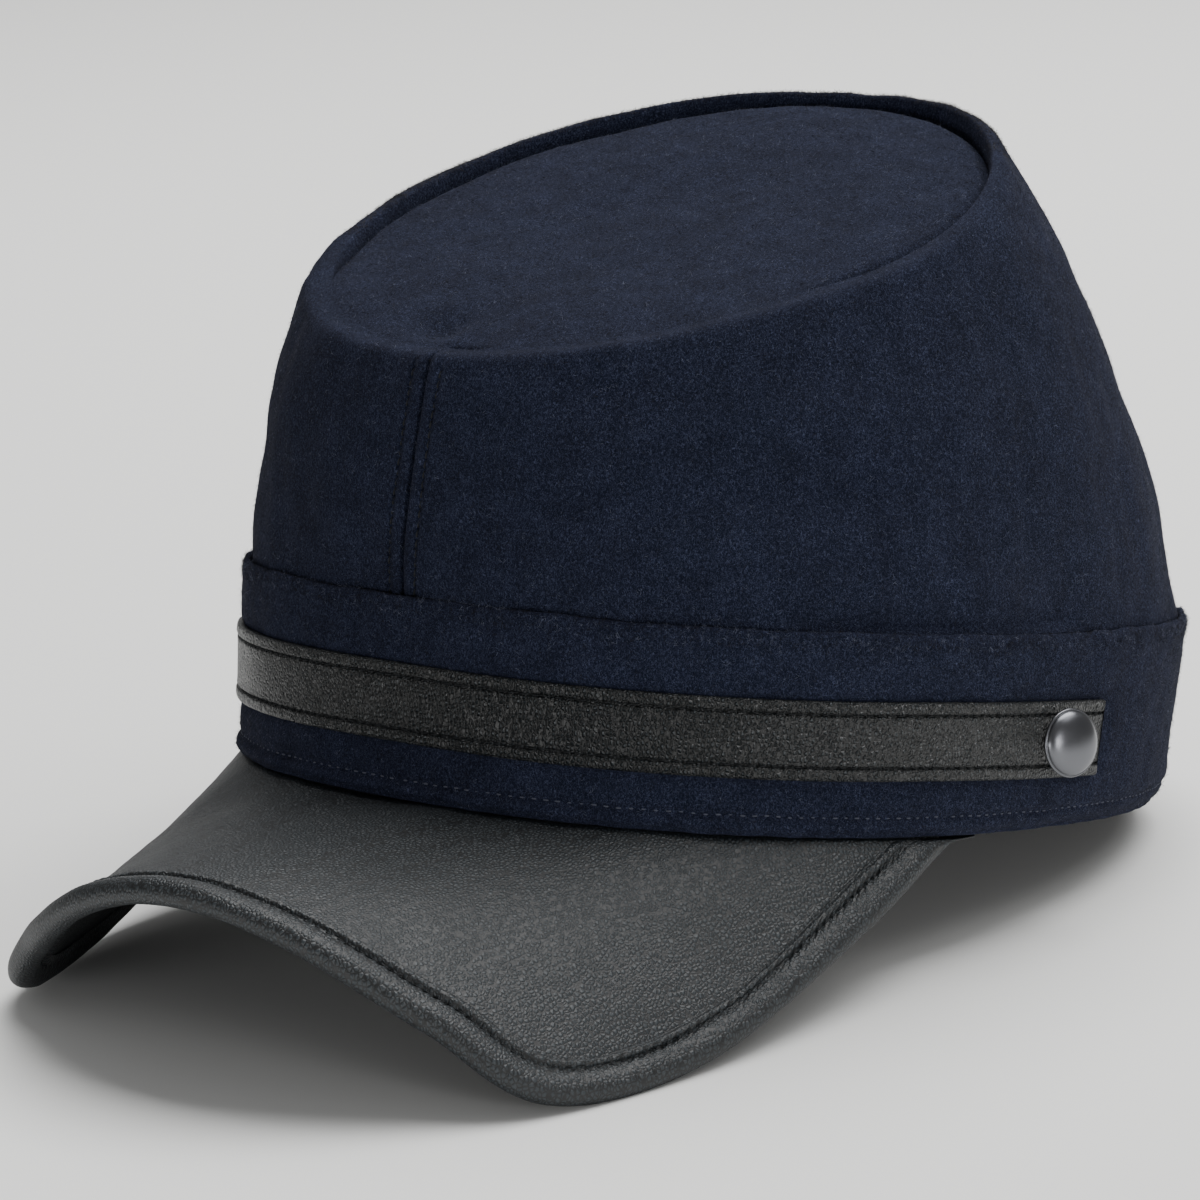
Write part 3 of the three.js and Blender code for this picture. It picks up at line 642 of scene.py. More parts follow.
def plated_metal(finishes):
    """Gunmetal plating on stamped brass: dark, satin, with faint smears from handling."""
    name = "gunmetal_plating"
    if name in bpy.data.materials:
        return bpy.data.materials[name]
    material, tree = new_material(name)
    place = add_node(tree, "ShaderNodeTexCoord").outputs["Object"]
    smears = add_node(tree, "ShaderNodeTexNoise",
                      {"Scale": 1 / (3 * MM), "Detail": 3.0}, {"Vector": place})
    gloss = add_node(tree, "ShaderNodeMapRange", {"To Min": 0.24, "To Max": 0.36},
                     {"Value": smears.outputs["Fac"]})
    ripple = add_node(tree, "ShaderNodeBump", {"Strength": 0.12, "Distance": 0.1 * MM},
                      {"Height": smears.outputs["Fac"]})
    finish_material(tree, {"Base Color": finishes.button, "Metallic": 1.0}, {
        "Roughness": gloss.outputs["Result"], "Normal": ripple.outputs["Normal"]})
    return material


def twisted_thread(name, tone):
    """Spun sewing thread: matt, with a faint twist across it."""
    if name in bpy.data.materials:
        return bpy.data.materials[name]
    material, tree = new_material(name)
    place = add_node(tree, "ShaderNodeTexCoord").outputs["Object"]
    ply = add_node(tree, "ShaderNodeTexNoise",
                   {"Scale": 1 / (0.3 * MM), "Detail": 2.0}, {"Vector": place})
    bump = add_node(tree, "ShaderNodeBump", {"Strength": 0.5, "Distance": 0.08 * MM},
                    {"Height": ply.outputs["Fac"]})
    finish_material(tree, {"Base Color": tone, "Roughness": 0.7, "Specular IOR Level": 0.3},
                    {"Normal": bump.outputs["Normal"]})
    return material


def arc_turns(k, bearing, pitch):
    """How many stitches of a pitch fit round the band from bearing 0 to each bearing."""
    fine = np.linspace(-200, 400, 6001)
    along = run_lengths(band_point(k, fine, 0.0, 0.0))
    return (np.interp(bearing, fine, along) - np.interp(0, fine, along)) / pitch


def stitch_middles(fine, turns):
    """Bearings of the middles of all whole stitches, from the turns at fine bearings."""
    return np.interp(np.arange(math.ceil(turns[0]) + 0.5, turns[-1], 1), turns, fine)


def stitch_bearings(k, start, end, pitch):
    """Bearings of the middles of the stitches round the band between two bearings."""
    fine = np.linspace(start, end, 3001)
    return stitch_middles(fine, arc_turns(k, fine, pitch))


def wall_span(level):
    """Distance over the wall for one radian of bearing: less and less towards the tip."""
    return (100 - 34 * level) * MM


def wall_run(bearing, level):
    """Distances over the wall from the front seam and from the back seam."""
    across = np.radians(half_bearing(bearing))
    return across * wall_span(level), (math.pi - across) * wall_span(level)


def crown_face(k, bearing, level):
    """The wall as sewn: each seam is a narrow groove with a rounded lip on either side and a
    stitched valley further off that puckers with the stitches; soft unevenness lies over all."""
    wall = crown_point(k, bearing, level)
    dip = np.zeros(wall.shape[:-1])
    for away in wall_run(bearing, level):
        pucker = 0.5 + 0.5 * np.cos(level * WALL_HEIGHT * 2 * math.pi / k.seam_pitch)
        dip -= 0.9 * MM * bell(away, 0.32 * MM) + 0.3 * MM * bell(away, 0.9 * MM)
        dip += 0.15 * MM * bell(away - 1.7 * MM, 0.9 * MM)
        dip -= (0.25 + 0.5 * pucker) * MM * bell(away - SEAM_STITCHES, 0.55 * MM)
    dip += 0.3 * MM * waves(wall, 26 * MM, SEED) + 0.11 * MM * waves(wall, 9 * MM, SEED + 1)
    return wall + outward(bearing) * dip[..., None]


def side_bearings():
    """Bearings of one half of the crown, crowded towards its two seams and ending short of them."""
    return crowded(330, 0.03, 179.97)


def crown_side_grid(k, side):
    """Rows of closed loops for one half of the crown: up inside the band, up the wall, over
    the welt in two cubic curves, and down the inner face one cloth thickness in. Where the seam
    is closed the welt is lower and its crest lies right beside the tip's edge."""
    bearing = side * side_bearings()
    levels = np.linspace(0, 1, 110) ** 1.15
    wall = crown_face(k, bearing[:, None], np.broadcast_to(levels, (len(bearing), len(levels))))
    seam = bearing + SEAM_LEAN_TIP
    show = seam_open(seam)
    welt = welt_height(seam)
    lap = 0.1 * MM * (1 - show)
    crest = seam_point(k, seam, WELT_CREST * show - lap, welt + 0.3 * lap)
    foot = seam_point(k, seam, 0.03 * MM, welt * (1 - show) - (0.9 + 0.9 * show) * MM)
    out = unit(seam_point(k, seam, 1 * MM, 0.0) - seam_point(k, seam, 0.0, 0.0))
    up = tip_place(k, 0.0, 0.0, MM) - tip_place(k, 0.0, 0.0, 0.0)
    rise = unit(wall[:, -1] - wall[:, -3])
    reach = np.linalg.norm(crest - wall[:, -1], axis=-1, keepdims=True)
    brow = out - up / MM * 0.2 * (1 - show[:, None])
    over = bezier(wall[:, -1], wall[:, -1] + rise * reach * 0.5, crest + brow * reach * 0.4,
                  crest, np.append(np.linspace(0, 1, 17)[1:-1], [0.99, 1]))
    over += waves(over, 11 * MM, SEED + 12)[..., None] * up * 0.12
    round_in = (0.02 + 0.85 * show[:, None]) * MM
    down = bezier(over[:, -1], over[:, -1] - out * round_in, foot + up * 0.7, foot,
                  np.linspace(0, 1, 12)[1:])
    normal = grid_normals(wall)
    middle = len(bearing) // 2
    if (normal[middle, len(levels) // 2] @ outward(bearing)[middle]) < 0:
        normal = -normal
    inner = (wall - normal * k.cloth)[:, 106:2:-4]
    base = bearing + SEAM_LEAN_BASE
    inset = k.band_thickness + CLEARANCE
    heights = np.linspace(k.band_height - CROWN_TUCK, k.band_height - 0.6 * MM, 5)
    inset = inset - top_thinning(k, heights[None, :])
    outer_tuck = band_point(k, base[:, None], inset, heights[None, :])
    inner_tuck = band_point(k, base[:, None], inset[:, ::-1] + k.cloth, heights[None, ::-1])
    return np.concatenate([outer_tuck, wall, over, down, inner, inner_tuck], axis=1)


def tip_grid(k):
    """Rows of closed loops round the tip: out over a pillow 1 - part ^ 6 with its dents, down
    into the seam where that shows or level with the welt where it is closed, and back
    underneath one cloth thickness lower, flared at its rim so that no light shines through."""
    bearing = np.linspace(-180, 180, 340, endpoint=False)[:, None]
    show = seam_open(bearing)
    angle = np.radians(bearing)
    part = np.concatenate([
        np.linspace(0, 0.88, 56), np.linspace(0.88, 1, 33)[1:-1], [0.9996, 1],
    ])[None, :]
    edge = part * (1 - SEAM_GAP * show / k.tip_half_width)
    along = edge * (k.tip_half_length + tip_spread(bearing)) * np.cos(angle)
    across = edge * (k.tip_half_width + tip_spread(bearing)) * np.sin(angle)
    from_edge = (1 - part) * k.tip_half_width
    up = k.tip_pillow * (1 - part ** 6)
    for dent in TIP_DENTS:
        away = np.hypot(along - dent["along"] * MM, across - dent["across"] * MM)
        up = up - dent["depth"] * MM * bell(away, dent["width"] * MM) * (1 - part ** 8)
    welt = welt_height(bearing)
    up = up - SEAM_DEPTH * show * bell(from_edge, 1.2 * MM)
    up = up + welt * (1 - show) * part ** 6
    top = tip_place(k, along, across, up)
    settle = np.minimum(1, (1 - part) * 20)
    uneven = 0.32 * MM * waves(top, 26 * MM, SEED + 2) + 0.1 * MM * waves(top, 9 * MM, SEED + 3)
    ripple = 0.12 * MM * waves(top, 11 * MM, SEED + 12) * (1 - show) * (1 - settle)
    top = tip_place(k, along, across, up + uneven * settle + ripple)
    flare = 1 + TIP_FLARE * show * part ** 40 / k.tip_half_width
    under = tip_place(k, along * flare, across * flare, up - k.cloth)[:, ::-4]
    return np.concatenate([top, under], axis=1)


def strap_middle(k):
    """Height of the strap's middle line, and half its width."""
    return (k.strap_upper + k.strap_lower) / 2, (k.strap_upper - k.strap_lower) / 2


def band_face(k, bearing, height):
    """The band's outer face: pressed in under the strap, stitched in over the hem with a pucker
    at each stitch, curled in at both edges, and waving a little."""
    covered = 1 - np.clip((half_bearing(bearing) - math.degrees(k.strap_end) - 0.6) / 3, 0, 1)
    low = k.strap_lower - strap_sag(bearing) - 0.4 * MM
    high = k.strap_upper - strap_sag(bearing) + 0.4 * MM
    lower = 1 / (1 + np.exp((low - height) / (0.45 * MM)))
    upper = 1 / (1 + np.exp((height - high) / (0.45 * MM)))
    inset = k.strap_press * lower * upper * covered
    pucker = 0.5 - 0.5 * np.cos(arc_turns(k, bearing, k.band_pitch) * 2 * math.pi)
    slack = 1 - 0.3 * pucker
    inset = inset + 0.55 * MM * slack * bell(height - HEM, 0.7 * MM)
    aside = np.clip((half_bearing(bearing) - 50) / 40, 0, 1)
    inset = inset - 0.75 * MM * (1 - aside) * bell(height - 1.9 * MM, 1.3 * MM)
    inset = inset + 2.2 * MM * aside * np.clip(1 - height / (6 * MM), 0, 1) ** 2
    inset = inset + 0.8 * MM * np.clip(1 - height / (2.6 * MM), 0, 1) ** 2
    inset = inset + 0.35 * MM * np.clip(1 - (k.band_height - height) / (2.2 * MM), 0, 1) ** 2
    point = band_point(k, bearing, inset, height)
    free = np.clip(np.abs(height - strap_middle(k)[0]) / (9 * MM), 0, 1) ** 4
    free = np.maximum(free, 1 - covered)
    radial = 0.16 * MM * waves(point, 20 * MM, SEED + 4)
    radial += 0.09 * MM * waves(point, 6 * MM, SEED + 5) * free
    point = point + outward(bearing) * radial[..., None]
    near_top = np.clip(height / k.band_height, 0, 1) ** 3
    lift = 0.4 * MM * waves(point * [1, 1, 0], 30 * MM, SEED + 6) * near_top
    lift += 0.3 * MM * waves(point * [1, 1, 0], 8 * MM, SEED + 11) * near_top
    lift -= 0.1 * MM * (1 + waves(point * [1, 1, 0], 7 * MM, SEED + 14)) * (1 - near_top) ** 20
    point[..., 2] += lift
    return point


def band_grid(k):
    """Rows of closed loops round the band: up its outer face, over the rolled top edge, down
    inside and under the rolled hem. Each roll is a cubic curve between the two faces, and the
    outer face has most rows beside the hem."""
    bearing = np.linspace(0, 360, 880, endpoint=False)[:, None]
    face = np.concatenate([
        np.linspace(0.7, 6.5, 26), np.linspace(6.5, 27.5, 22)[1:], np.linspace(27.5, 37.9, 16)[1:],
    ]) * MM
    b = np.broadcast_to(bearing, (len(bearing), len(face)))
    outer = band_face(k, b, np.broadcast_to(face, b.shape))
    back = np.append(np.linspace(37.9, 28, 8), np.linspace(26, 0.7, 8))[None, :] * MM
    inner = band_point(k, bearing, k.band_thickness - top_thinning(k, back), back)
    rise = np.array([0, 0, 1.8 * MM])
    t = np.linspace(0, 1, 11)[1:-1]
    over = bezier(outer[:, -1], outer[:, -1] + rise, inner[:, 0] + rise, inner[:, 0], t)
    sink = np.array([0, 0, 0.93 * MM])
    under = bezier(inner[:, -1], inner[:, -1] - sink, outer[:, 0] - sink, outer[:, 0], t)
    return np.concatenate([outer, over, inner, under], axis=1)


def strap_profile(k, from_edge):
    """Height of the strap's face over its back at a distance from its edge: a turned border
    that is a flat roll, a narrow stitched crease, and a level field."""
    border = k.strap_border
    roll = np.sqrt(np.clip(1 - (from_edge / (border * 0.5) - 1) ** 4, 0, 1))
    height = np.where(from_edge < border, 0.45 + 0.55 * roll, 0.86)
    height = np.where(from_edge > border * 0.5, np.maximum(height, 0.78), height)
    return (height - 0.26 * bell(from_edge - border, 0.26 * MM)) * k.strap_thickness


def strap_face(k, bearing, height):
    """The strap's outer face, puckered along both creases."""
    middle, half = strap_middle(k)
    from_edge = half - np.abs(height - middle)
    pull = np.cos(arc_turns(k, bearing, k.strap_pitch) * 2 * math.pi)
    pucker = 0.1 * MM * pull * bell(from_edge - k.strap_border, 0.8 * MM)
    back = k.strap_press - 0.25 * MM
    point = band_point(k, bearing, back - strap_profile(k, from_edge) + pucker, height)
    wrinkle = 0.05 * MM * waves(point * [1, 1, 0.5], 2.4 * MM, SEED + 10)
    wrinkle = wrinkle * (0.3 + bell(np.maximum(from_edge - 1.2 * MM, 0), 1.6 * MM))
    return point + outward(bearing) * wrinkle[..., None]


def strap_grid(k):
    """Rows of closed loops along the strap: its face from the lower edge to the upper one, and
    its flat back. The whole strap drifts up and down a little."""
    end = math.degrees(k.strap_end)
    bearing = np.linspace(-end, end, 900)[:, None]
    middle, half = strap_middle(k)
    border = k.strap_border
    near = np.concatenate([
        border * (1 - np.cos(np.linspace(0, math.pi / 2, 12))) * 0.55,
        np.linspace(border * 0.62, border + 0.8 * MM, 14), np.linspace(border + 1.1 * MM, half, 7),
    ])
    height = middle + np.concatenate([near - half, (half - near)[-2::-1]])
    b = np.broadcast_to(bearing, (len(bearing), len(height)))
    outer = strap_face(k, b, np.broadcast_to(height, b.shape))
    inner = band_point(k, bearing, k.strap_press - 0.25 * MM, height[None, ::-6])
    return drifted(np.concatenate([outer, inner], axis=1))


def strap_sag(bearing):
    """How far the strap droops towards its ends."""
    return 0.9 * MM * np.clip((half_bearing(bearing) - 62) / 32, 0, 1) ** 2


def drifted(points):
    """Points of the strap moved up or down from its even course."""
    bearing = np.degrees(np.arctan2(points[..., 0], -points[..., 1]))
    drift = 0.12 * MM * waves(points * [1, 1, 0], 60 * MM, SEED + 7) - strap_sag(bearing)
    points[..., 2] += drift
    return points


def peak_direction(bearing):
    """Unit vectors along the board: outward at the fan's bearing, pitched down."""
    side = np.sign(bearing)
    row = np.abs(bearing)
    pitch = np.radians(smooth_column(PEAK_ROWS, "pitch", row))
    run = outward(side * smooth_column(PEAK_ROWS, "fan", row)) * np.cos(pitch)[..., None]
    run[..., 2] = -np.sin(pitch)
    return run


def peak_length(bearing):
    """Length of the board from the band to its edge: a little shorter at the right corner, and
    fuller beside the left one."""
    change = 3.6 * bell(bearing - 59, 6) - 1.8 * bell(bearing + 44, 8)
    return (smooth_column(PEAK_ROWS, "length", np.abs(bearing)) + change) * MM


def peak_point(k, bearing, out):
    """The board's upper face: straight out from just under the band, and level inward of it."""
    bearing, out = np.broadcast_arrays(bearing, out)
    sink = PEAK_SINK * np.clip((np.abs(bearing) - 45) / 20, 0, 1)
    start = band_point(k, bearing, PEAK_START_INSET, 0.0)
    start[..., 2] = -CLEARANCE - sink
    run = peak_direction(bearing)
    point = start + run * out[..., None]
    point[..., 2] -= run[..., 2] * np.minimum(out, 0)
    return point


def peak_normal(k, bearing, out):
    """Unit vectors up out of the board's upper face, from steps round it and along it."""
    step = 0.75 * MM
    turning = peak_point(k, bearing + 0.5, out) - peak_point(k, bearing - 0.5, out)
    running = peak_point(k, bearing, out + step) - peak_point(k, bearing, out - step)
    return -unit(np.cross(turning, running))


def peak_slant(k, bearing):
    """Cosine between the board's direction at a bearing and the square way in from its edge."""
    ahead = peak_point(k, bearing + 0.5, peak_length(bearing + 0.5))
    behind = peak_point(k, bearing - 0.5, peak_length(bearing - 0.5))
    along = unit(ahead - behind)
    run = peak_direction(bearing)
    return np.sqrt(np.maximum(0.09, 1 - (along * run).sum(-1) ** 2))


def tapered(bearing):
    """How much of the peak's thickness is left: all of it up to 9 mm from the band, and a
    little where its corner goes in under the band."""
    return np.clip(0.12 + peak_length(bearing) / (9 * MM), 0.12, 1)


def peak_board(k, bearing, out):
    """The board's upper face with the slow unevenness of pressed leather."""
    point = peak_point(k, bearing, out)
    uneven = 0.14 * MM * waves(point, 24 * MM, SEED + 8) + 0.03 * MM * waves(point, 5 * MM, SEED)
    return point + peak_normal(k, bearing, out) * uneven[..., None]


def peak_grid(k):
    """Rows of closed loops across the board: out along its upper face, round its edge, back
    along its lower face, and up inside the band as the allowance that it is sewn in by."""
    bearing = np.linspace(-BOARD_END, BOARD_END, 340)
    reach = peak_length(bearing) - 1.4 * MM / peak_slant(k, bearing)
    part = np.linspace(0, 1, 80)[None, :]
    b = np.broadcast_to(bearing[:, None], (len(bearing), part.shape[1]))
    out = part * reach[:, None]
    upper = peak_board(k, b, out)
    under = peak_normal(k, b, out) * (k.peak_thickness * tapered(bearing))[:, None, None]
    lower = (upper - under)[:, ::-2]
    inside = k.band_thickness + CLEARANCE
    tail = [(inside, 0.0, True), (inside + 0.1 * MM, 4.5 * MM, False),
            (inside + 1.0 * MM, 4.5 * MM, False), (inside + 1.2 * MM, -0.5 * MM, True)]
    hidden = []
    for inset, height, level in tail:
        point = band_point(k, bearing[:, None], inset, 0.0)
        point[..., 2] = height + (upper[:, :1, 2] if level else 0)
        hidden.append(point)
    return np.concatenate([hidden[1], hidden[0], upper, lower, hidden[3], hidden[2]], axis=1)


def binding_height(k, distance):
    """Height of the binding's face over the board's face at a distance in from its edge: a
    padded roll, a stitched groove, a thin turned ridge and a step down to the board."""
    skin = k.peak_thickness / 2
    pad = k.binding_thickness / 2
    risen = np.minimum(distance / BINDING_CREST, 1)
    rising = pad * np.sqrt(np.clip(1 - (1 - risen) ** 2, 0, 1))
    fall = np.clip((distance - BINDING_CREST) / (GROOVE - BINDING_CREST), 0, 1)
    height = rising - skin - (pad - skin - 0.12 * MM) * fall ** 2.2
    ridge = (distance - GROOVE - 1.25 * MM) / (0.85 * MM)
    height = height + 0.85 * MM * np.exp(-ridge ** 4)
    step = np.clip((k.binding_width - distance) / (0.2 * MM), 0, 1)
    return np.where(distance > GROOVE, height * step + 0.02 * MM, height)


def binding_face(k, bearing, distance, face):
    """The binding's skin on the upper face (1) or the lower one (-1), puckered at each stitch.
    It follows the board, and is pressed flat where it goes in under the band."""
    out = peak_length(bearing) - distance / peak_slant(k, bearing)
    up = peak_normal(k, bearing, out)
    turns = edge_turns(k, bearing)
    pull = 0.5 + 0.5 * np.cos(turns * 2 * math.pi)
    height = binding_height(k, distance)
    height = height - 0.35 * MM * pull * bell(distance - GROOVE, 0.7 * MM)
    height = height - 0.16 * MM * pull * bell(distance - GROOVE - 1.2 * MM, 0.7 * MM)
    height = height + 0.5 * MM * bell(bearing + 36, 16) * bell(distance - 2.6 * MM, 1.3 * MM)
    slanted = np.cos((turns * 2 + distance / (2.4 * MM)) * 2 * math.pi)
    height = height + 0.06 * MM * slanted * bell(distance - 3.9 * MM, 1.3 * MM)
    top = peak_point(k, bearing, out)
    fine = 0.1 * MM * waves(top, 12 * MM, SEED + 9) * np.minimum(1, distance / (2 * MM))
    height = height + fine
    thick = tapered(bearing)
    pressed = np.clip((out + 0.2 * MM) / (2 * MM), 0.04, 1)
    raised = np.where(height > 0, height * np.minimum(pressed, 1), height * thick)
    lowered = -(k.peak_thickness + height) * thick
    return top + up * np.where(face > 0, raised, lowered)[..., None]


def edge_turns(k, bearing):
    """How many stitches of the binding's pitch fit along the peak's edge from its middle."""
    fine = np.linspace(-BINDING_END, BINDING_END, 2001)
    along = run_lengths(peak_point(k, fine, peak_length(fine)))
    return np.interp(bearing, fine, along - along[len(fine) // 2]) / k.peak_pitch


def binding_grid(k):
    """Rows of closed loops across the binding, at even steps along the peak's edge: from its
    inner seam on top, out round the padded roll and back underneath, and round its slot."""
    fine = np.linspace(-BINDING_END, BINDING_END, 2001)
    turns = edge_turns(k, fine)
    bearing = np.interp(np.linspace(turns[0], turns[-1], 960), turns, fine)[:, None]
    groove_start, groove_end = GROOVE - 0.9 * MM, GROOVE + 0.8 * MM
    distance = np.concatenate([
        BINDING_CREST * (1 - np.cos(np.linspace(0, math.pi / 2, 13))),
        np.linspace(BINDING_CREST, groove_start, 9)[1:],
        np.linspace(groove_start, groove_end, 10)[1:],
        np.linspace(groove_end, k.binding_width, 12)[1:],
    ])
    b = np.broadcast_to(bearing, (len(bearing), len(distance)))
    top = binding_face(k, b, np.broadcast_to(distance, b.shape), 1)[:, ::-1]
    low = binding_face(k, b, np.broadcast_to(distance, b.shape), -1)[:, 2::2]
    out = peak_length(bearing) - 1.2 * MM / peak_slant(k, bearing)
    up = peak_normal(k, bearing, out)
    face = peak_point(k, bearing, out)
    slot = (k.peak_thickness * tapered(bearing))[..., None]
    slot_low, slot_top = face - up * (slot + 0.02 * MM), face + up * 0.01 * MM
    return np.concatenate([top, low, slot_low, slot_top], axis=1)


def button_grid(k, side):
    """Rows of closed loops round a button: a short shank, a flat back, a short wall rolled at
    its edge and a low dome, turned round an axis that leans forward of the strap's face."""
    radius, height = k.button_radius, k.button_height
    wall = 0.9 * MM
    shank = 2.4 * MM
    turn = np.linspace(-math.pi / 2, math.pi / 2, 9)
    profile = [(0.0, -0.8 * MM), (shank, -0.8 * MM), (shank, 0.0),
               (radius - 1.0 * MM, 0.0), (radius - 0.5 * MM, 0.05 * MM)]
    profile += [(radius - 0.3 * MM + 0.3 * MM * math.cos(a), wall + 0.3 * MM * math.sin(a))
                for a in turn]
    rise = np.linspace(0.04, math.pi / 2, 30)
    low = wall + 0.1 * MM
    profile += [((radius - 0.45 * MM) * math.cos(a), low + (height - low) * math.sin(a))
                for a in rise]
    profile[-1] = (0.0, height)
    profile = np.array(profile)
    bearing = side * math.degrees(k.button_bearing)
    middle = strap_middle(k)[0] - 0.8 * MM
    lift = k.strap_press - CLEARANCE - k.strap_thickness - CLEARANCE
    centre = band_point(k, bearing, lift, middle)
    turning = band_point(k, bearing + 1, lift, middle) - band_point(k, bearing - 1, lift, middle)
    rising = band_point(k, bearing, lift, middle + MM) - band_point(k, bearing, lift, middle - MM)
    straight = unit(np.cross(turning, rising))
    axis = unit(straight - side * unit(turning) * BUTTON_LEAN + unit(rising) * BUTTON_LIFT)
    first = unit(rising - axis * (rising @ axis))
    second = np.cross(axis, first)
    angle = np.linspace(0, 2 * math.pi, 96, endpoint=False)[:, None, None]
    spoke = np.cos(angle) * first + np.sin(angle) * second
    centre = centre + straight * 1.5 * MM - unit(turning) * side * 0.4 * MM
    return centre + spoke * profile[None, :, :1] + axis * profile[None, :, 1:]


def stitch_run(place, ahead, away):
    """Standing places, directions and normals of stitches, from their places, points ahead of
    them and vectors away from the cloth."""
    above = place + away * MM
    return stand(place), unit(stand(ahead) - stand(place)), unit(stand(above) - stand(place))


def on_face(face, bearing, lift):
    """Stitches lifted off a face at their bearings."""
    away = outward(bearing)
    return stitch_run(face(bearing) + away * lift, face(bearing + 0.2) + away * lift, away)


def nap_mesh(name, patches, count, material):
    """Loose fibres as thin closed needles with three sides, spread evenly by area over grids of
    points, where a grid that is given again gets more. Each leans out of the cloth by a random
    small angle in a random direction."""
    draw = np.random.default_rng(SEED + len(name))
    corners = [np.stack([g[:-1, :-1], g[1:, :-1], g[:-1, 1:], g[1:, 1:]], 2).reshape(-1, 4, 3)
               for g in patches]
    corners = np.concatenate(corners)
    ahead, aside = corners[:, 1] - corners[:, 0], corners[:, 2] - corners[:, 0]
    cross = np.cross(ahead, aside)
    area = np.linalg.norm(cross, axis=-1)
    cell = draw.choice(len(area), count, p=area / area.sum())
    u, v = draw.uniform(size=(2, count, 1))
    root = corners[cell, 0] + ahead[cell] * u + aside[cell] * v
    normal = unit(cross[cell])
    inside = np.array([0, STANDING_SHIFT, 40 * MM])
    normal *= np.sign(((root - inside) * normal).sum(-1, keepdims=True))
    first = unit(ahead[cell])
    second = np.cross(normal, first)
    turn = draw.uniform(0, 2 * math.pi, (count, 1))
    lean = np.radians(draw.uniform(4, 40, (count, 1)))
    along = (np.cos(turn) * first + np.sin(turn) * second) * np.cos(lean) + normal * np.sin(lean)
    reach = draw.uniform(0.5, 1.7, (count, 1)) * MM
    side = unit(np.cross(along, normal))
    lift = np.cross(along, side)
    thirds = np.linspace(0, 2 * math.pi, 3, endpoint=False)
    ring = [side * math.cos(a) + lift * math.sin(a) for a in thirds]
    width = draw.uniform(0.022, 0.04, (count, 1)) * MM
    root = root - normal * 0.05 * MM
    points = np.stack([root + r * width for r in ring] + [root + along * reach], 1)
    points[..., 2] = np.maximum(points[..., 2], 0)
    one = np.array([(0, 2, 1), (0, 1, 3), (1, 2, 3), (2, 0, 3)])
    faces = (one[None] + np.arange(count)[:, None, None] * 4).reshape(-1, 3)
    return mesh_object(name, points, faces, material, merge=False)


def stitch_mesh(name, runs, reach, radius, bow, seed, material, scatter=0.0):
    """Short bowed stitches as one mesh. Along a stitch, s from -1 to 1, its radius is r (1 - s
    ^ 4) ^ 1/2 and it dips by bow s ^ 2 into the surface. scatter sinks each by a random depth."""
    draw = np.random.default_rng(seed)
    place = np.concatenate([run[0] for run in runs])
    direction = np.concatenate([run[1] for run in runs])
    normal = np.concatenate([run[2] for run in runs])
    count = len(place)
    sink = draw.uniform(0, scatter, (count, 1, 1, 1)) if scatter else 0.0
    s = np.linspace(-1, 1, 7)
    a = np.linspace(0, 2 * math.pi, 6, endpoint=False)
    side = unit(np.cross(direction, normal))
    size = radius * np.sqrt(np.clip(1 - s ** 4, 0, 1))
    ring = (np.cos(a)[None, :, None] * normal[:, None, :] + np.sin(a)[None, :, None]
            * side[:, None, :])
    points = (place[:, None, None, :] + direction[:, None, None, :]
              * (s * reach)[None, :, None, None]
              + ring[:, None, :, :] * size[None, :, None, None]
              - normal[:, None, None, :] * (bow * s * s)[None, :, None, None]
              - normal[:, None, None, :] * sink)
    one = points.shape[1] * points.shape[2]
    i = np.arange(len(s) - 1)[:, None] * len(a)
    j = np.arange(len(a))[None, :]
    right = (j + 1) % len(a)
    quads = np.stack([i + j, i + right, i + len(a) + right, i + len(a) + j], -1).reshape(-1, 4)
    faces = (quads[None] + (np.arange(count) * one)[:, None, None]).reshape(-1, 4)
    return mesh_object(name, points, faces, material)


def flat_floor(size, material):
    """A large flat square floor just under the cap."""
    half = size / 2
    corners = np.array([[-half, -half, 0], [half, -half, 0], [half, half, 0], [-half, half, 0]])
    mesh = bpy.data.meshes.new("floor")
    mesh.from_pydata(corners - [0, 0, 0.05 * MM], [], [(0, 1, 2, 3)])
    mesh.materials.append(material)
    floor = bpy.data.objects.new("floor", mesh)
    bpy.context.scene.collection.objects.link(floor)
    return floor


def area_light(name, place, aim, size, power):
    """A soft white rectangular light at a place, turned to an aim."""
    light = bpy.data.lights.new(name, "AREA")
    light.shape = "RECTANGLE"
    light.size, light.size_y = size
    light.energy = power
    lamp = bpy.data.objects.new(name, light)
    lamp.location = place
    lamp.rotation_euler = (Vector(aim) - Vector(place)).to_track_quat("-Z", "Y").to_euler()
    bpy.context.scene.collection.objects.link(lamp)


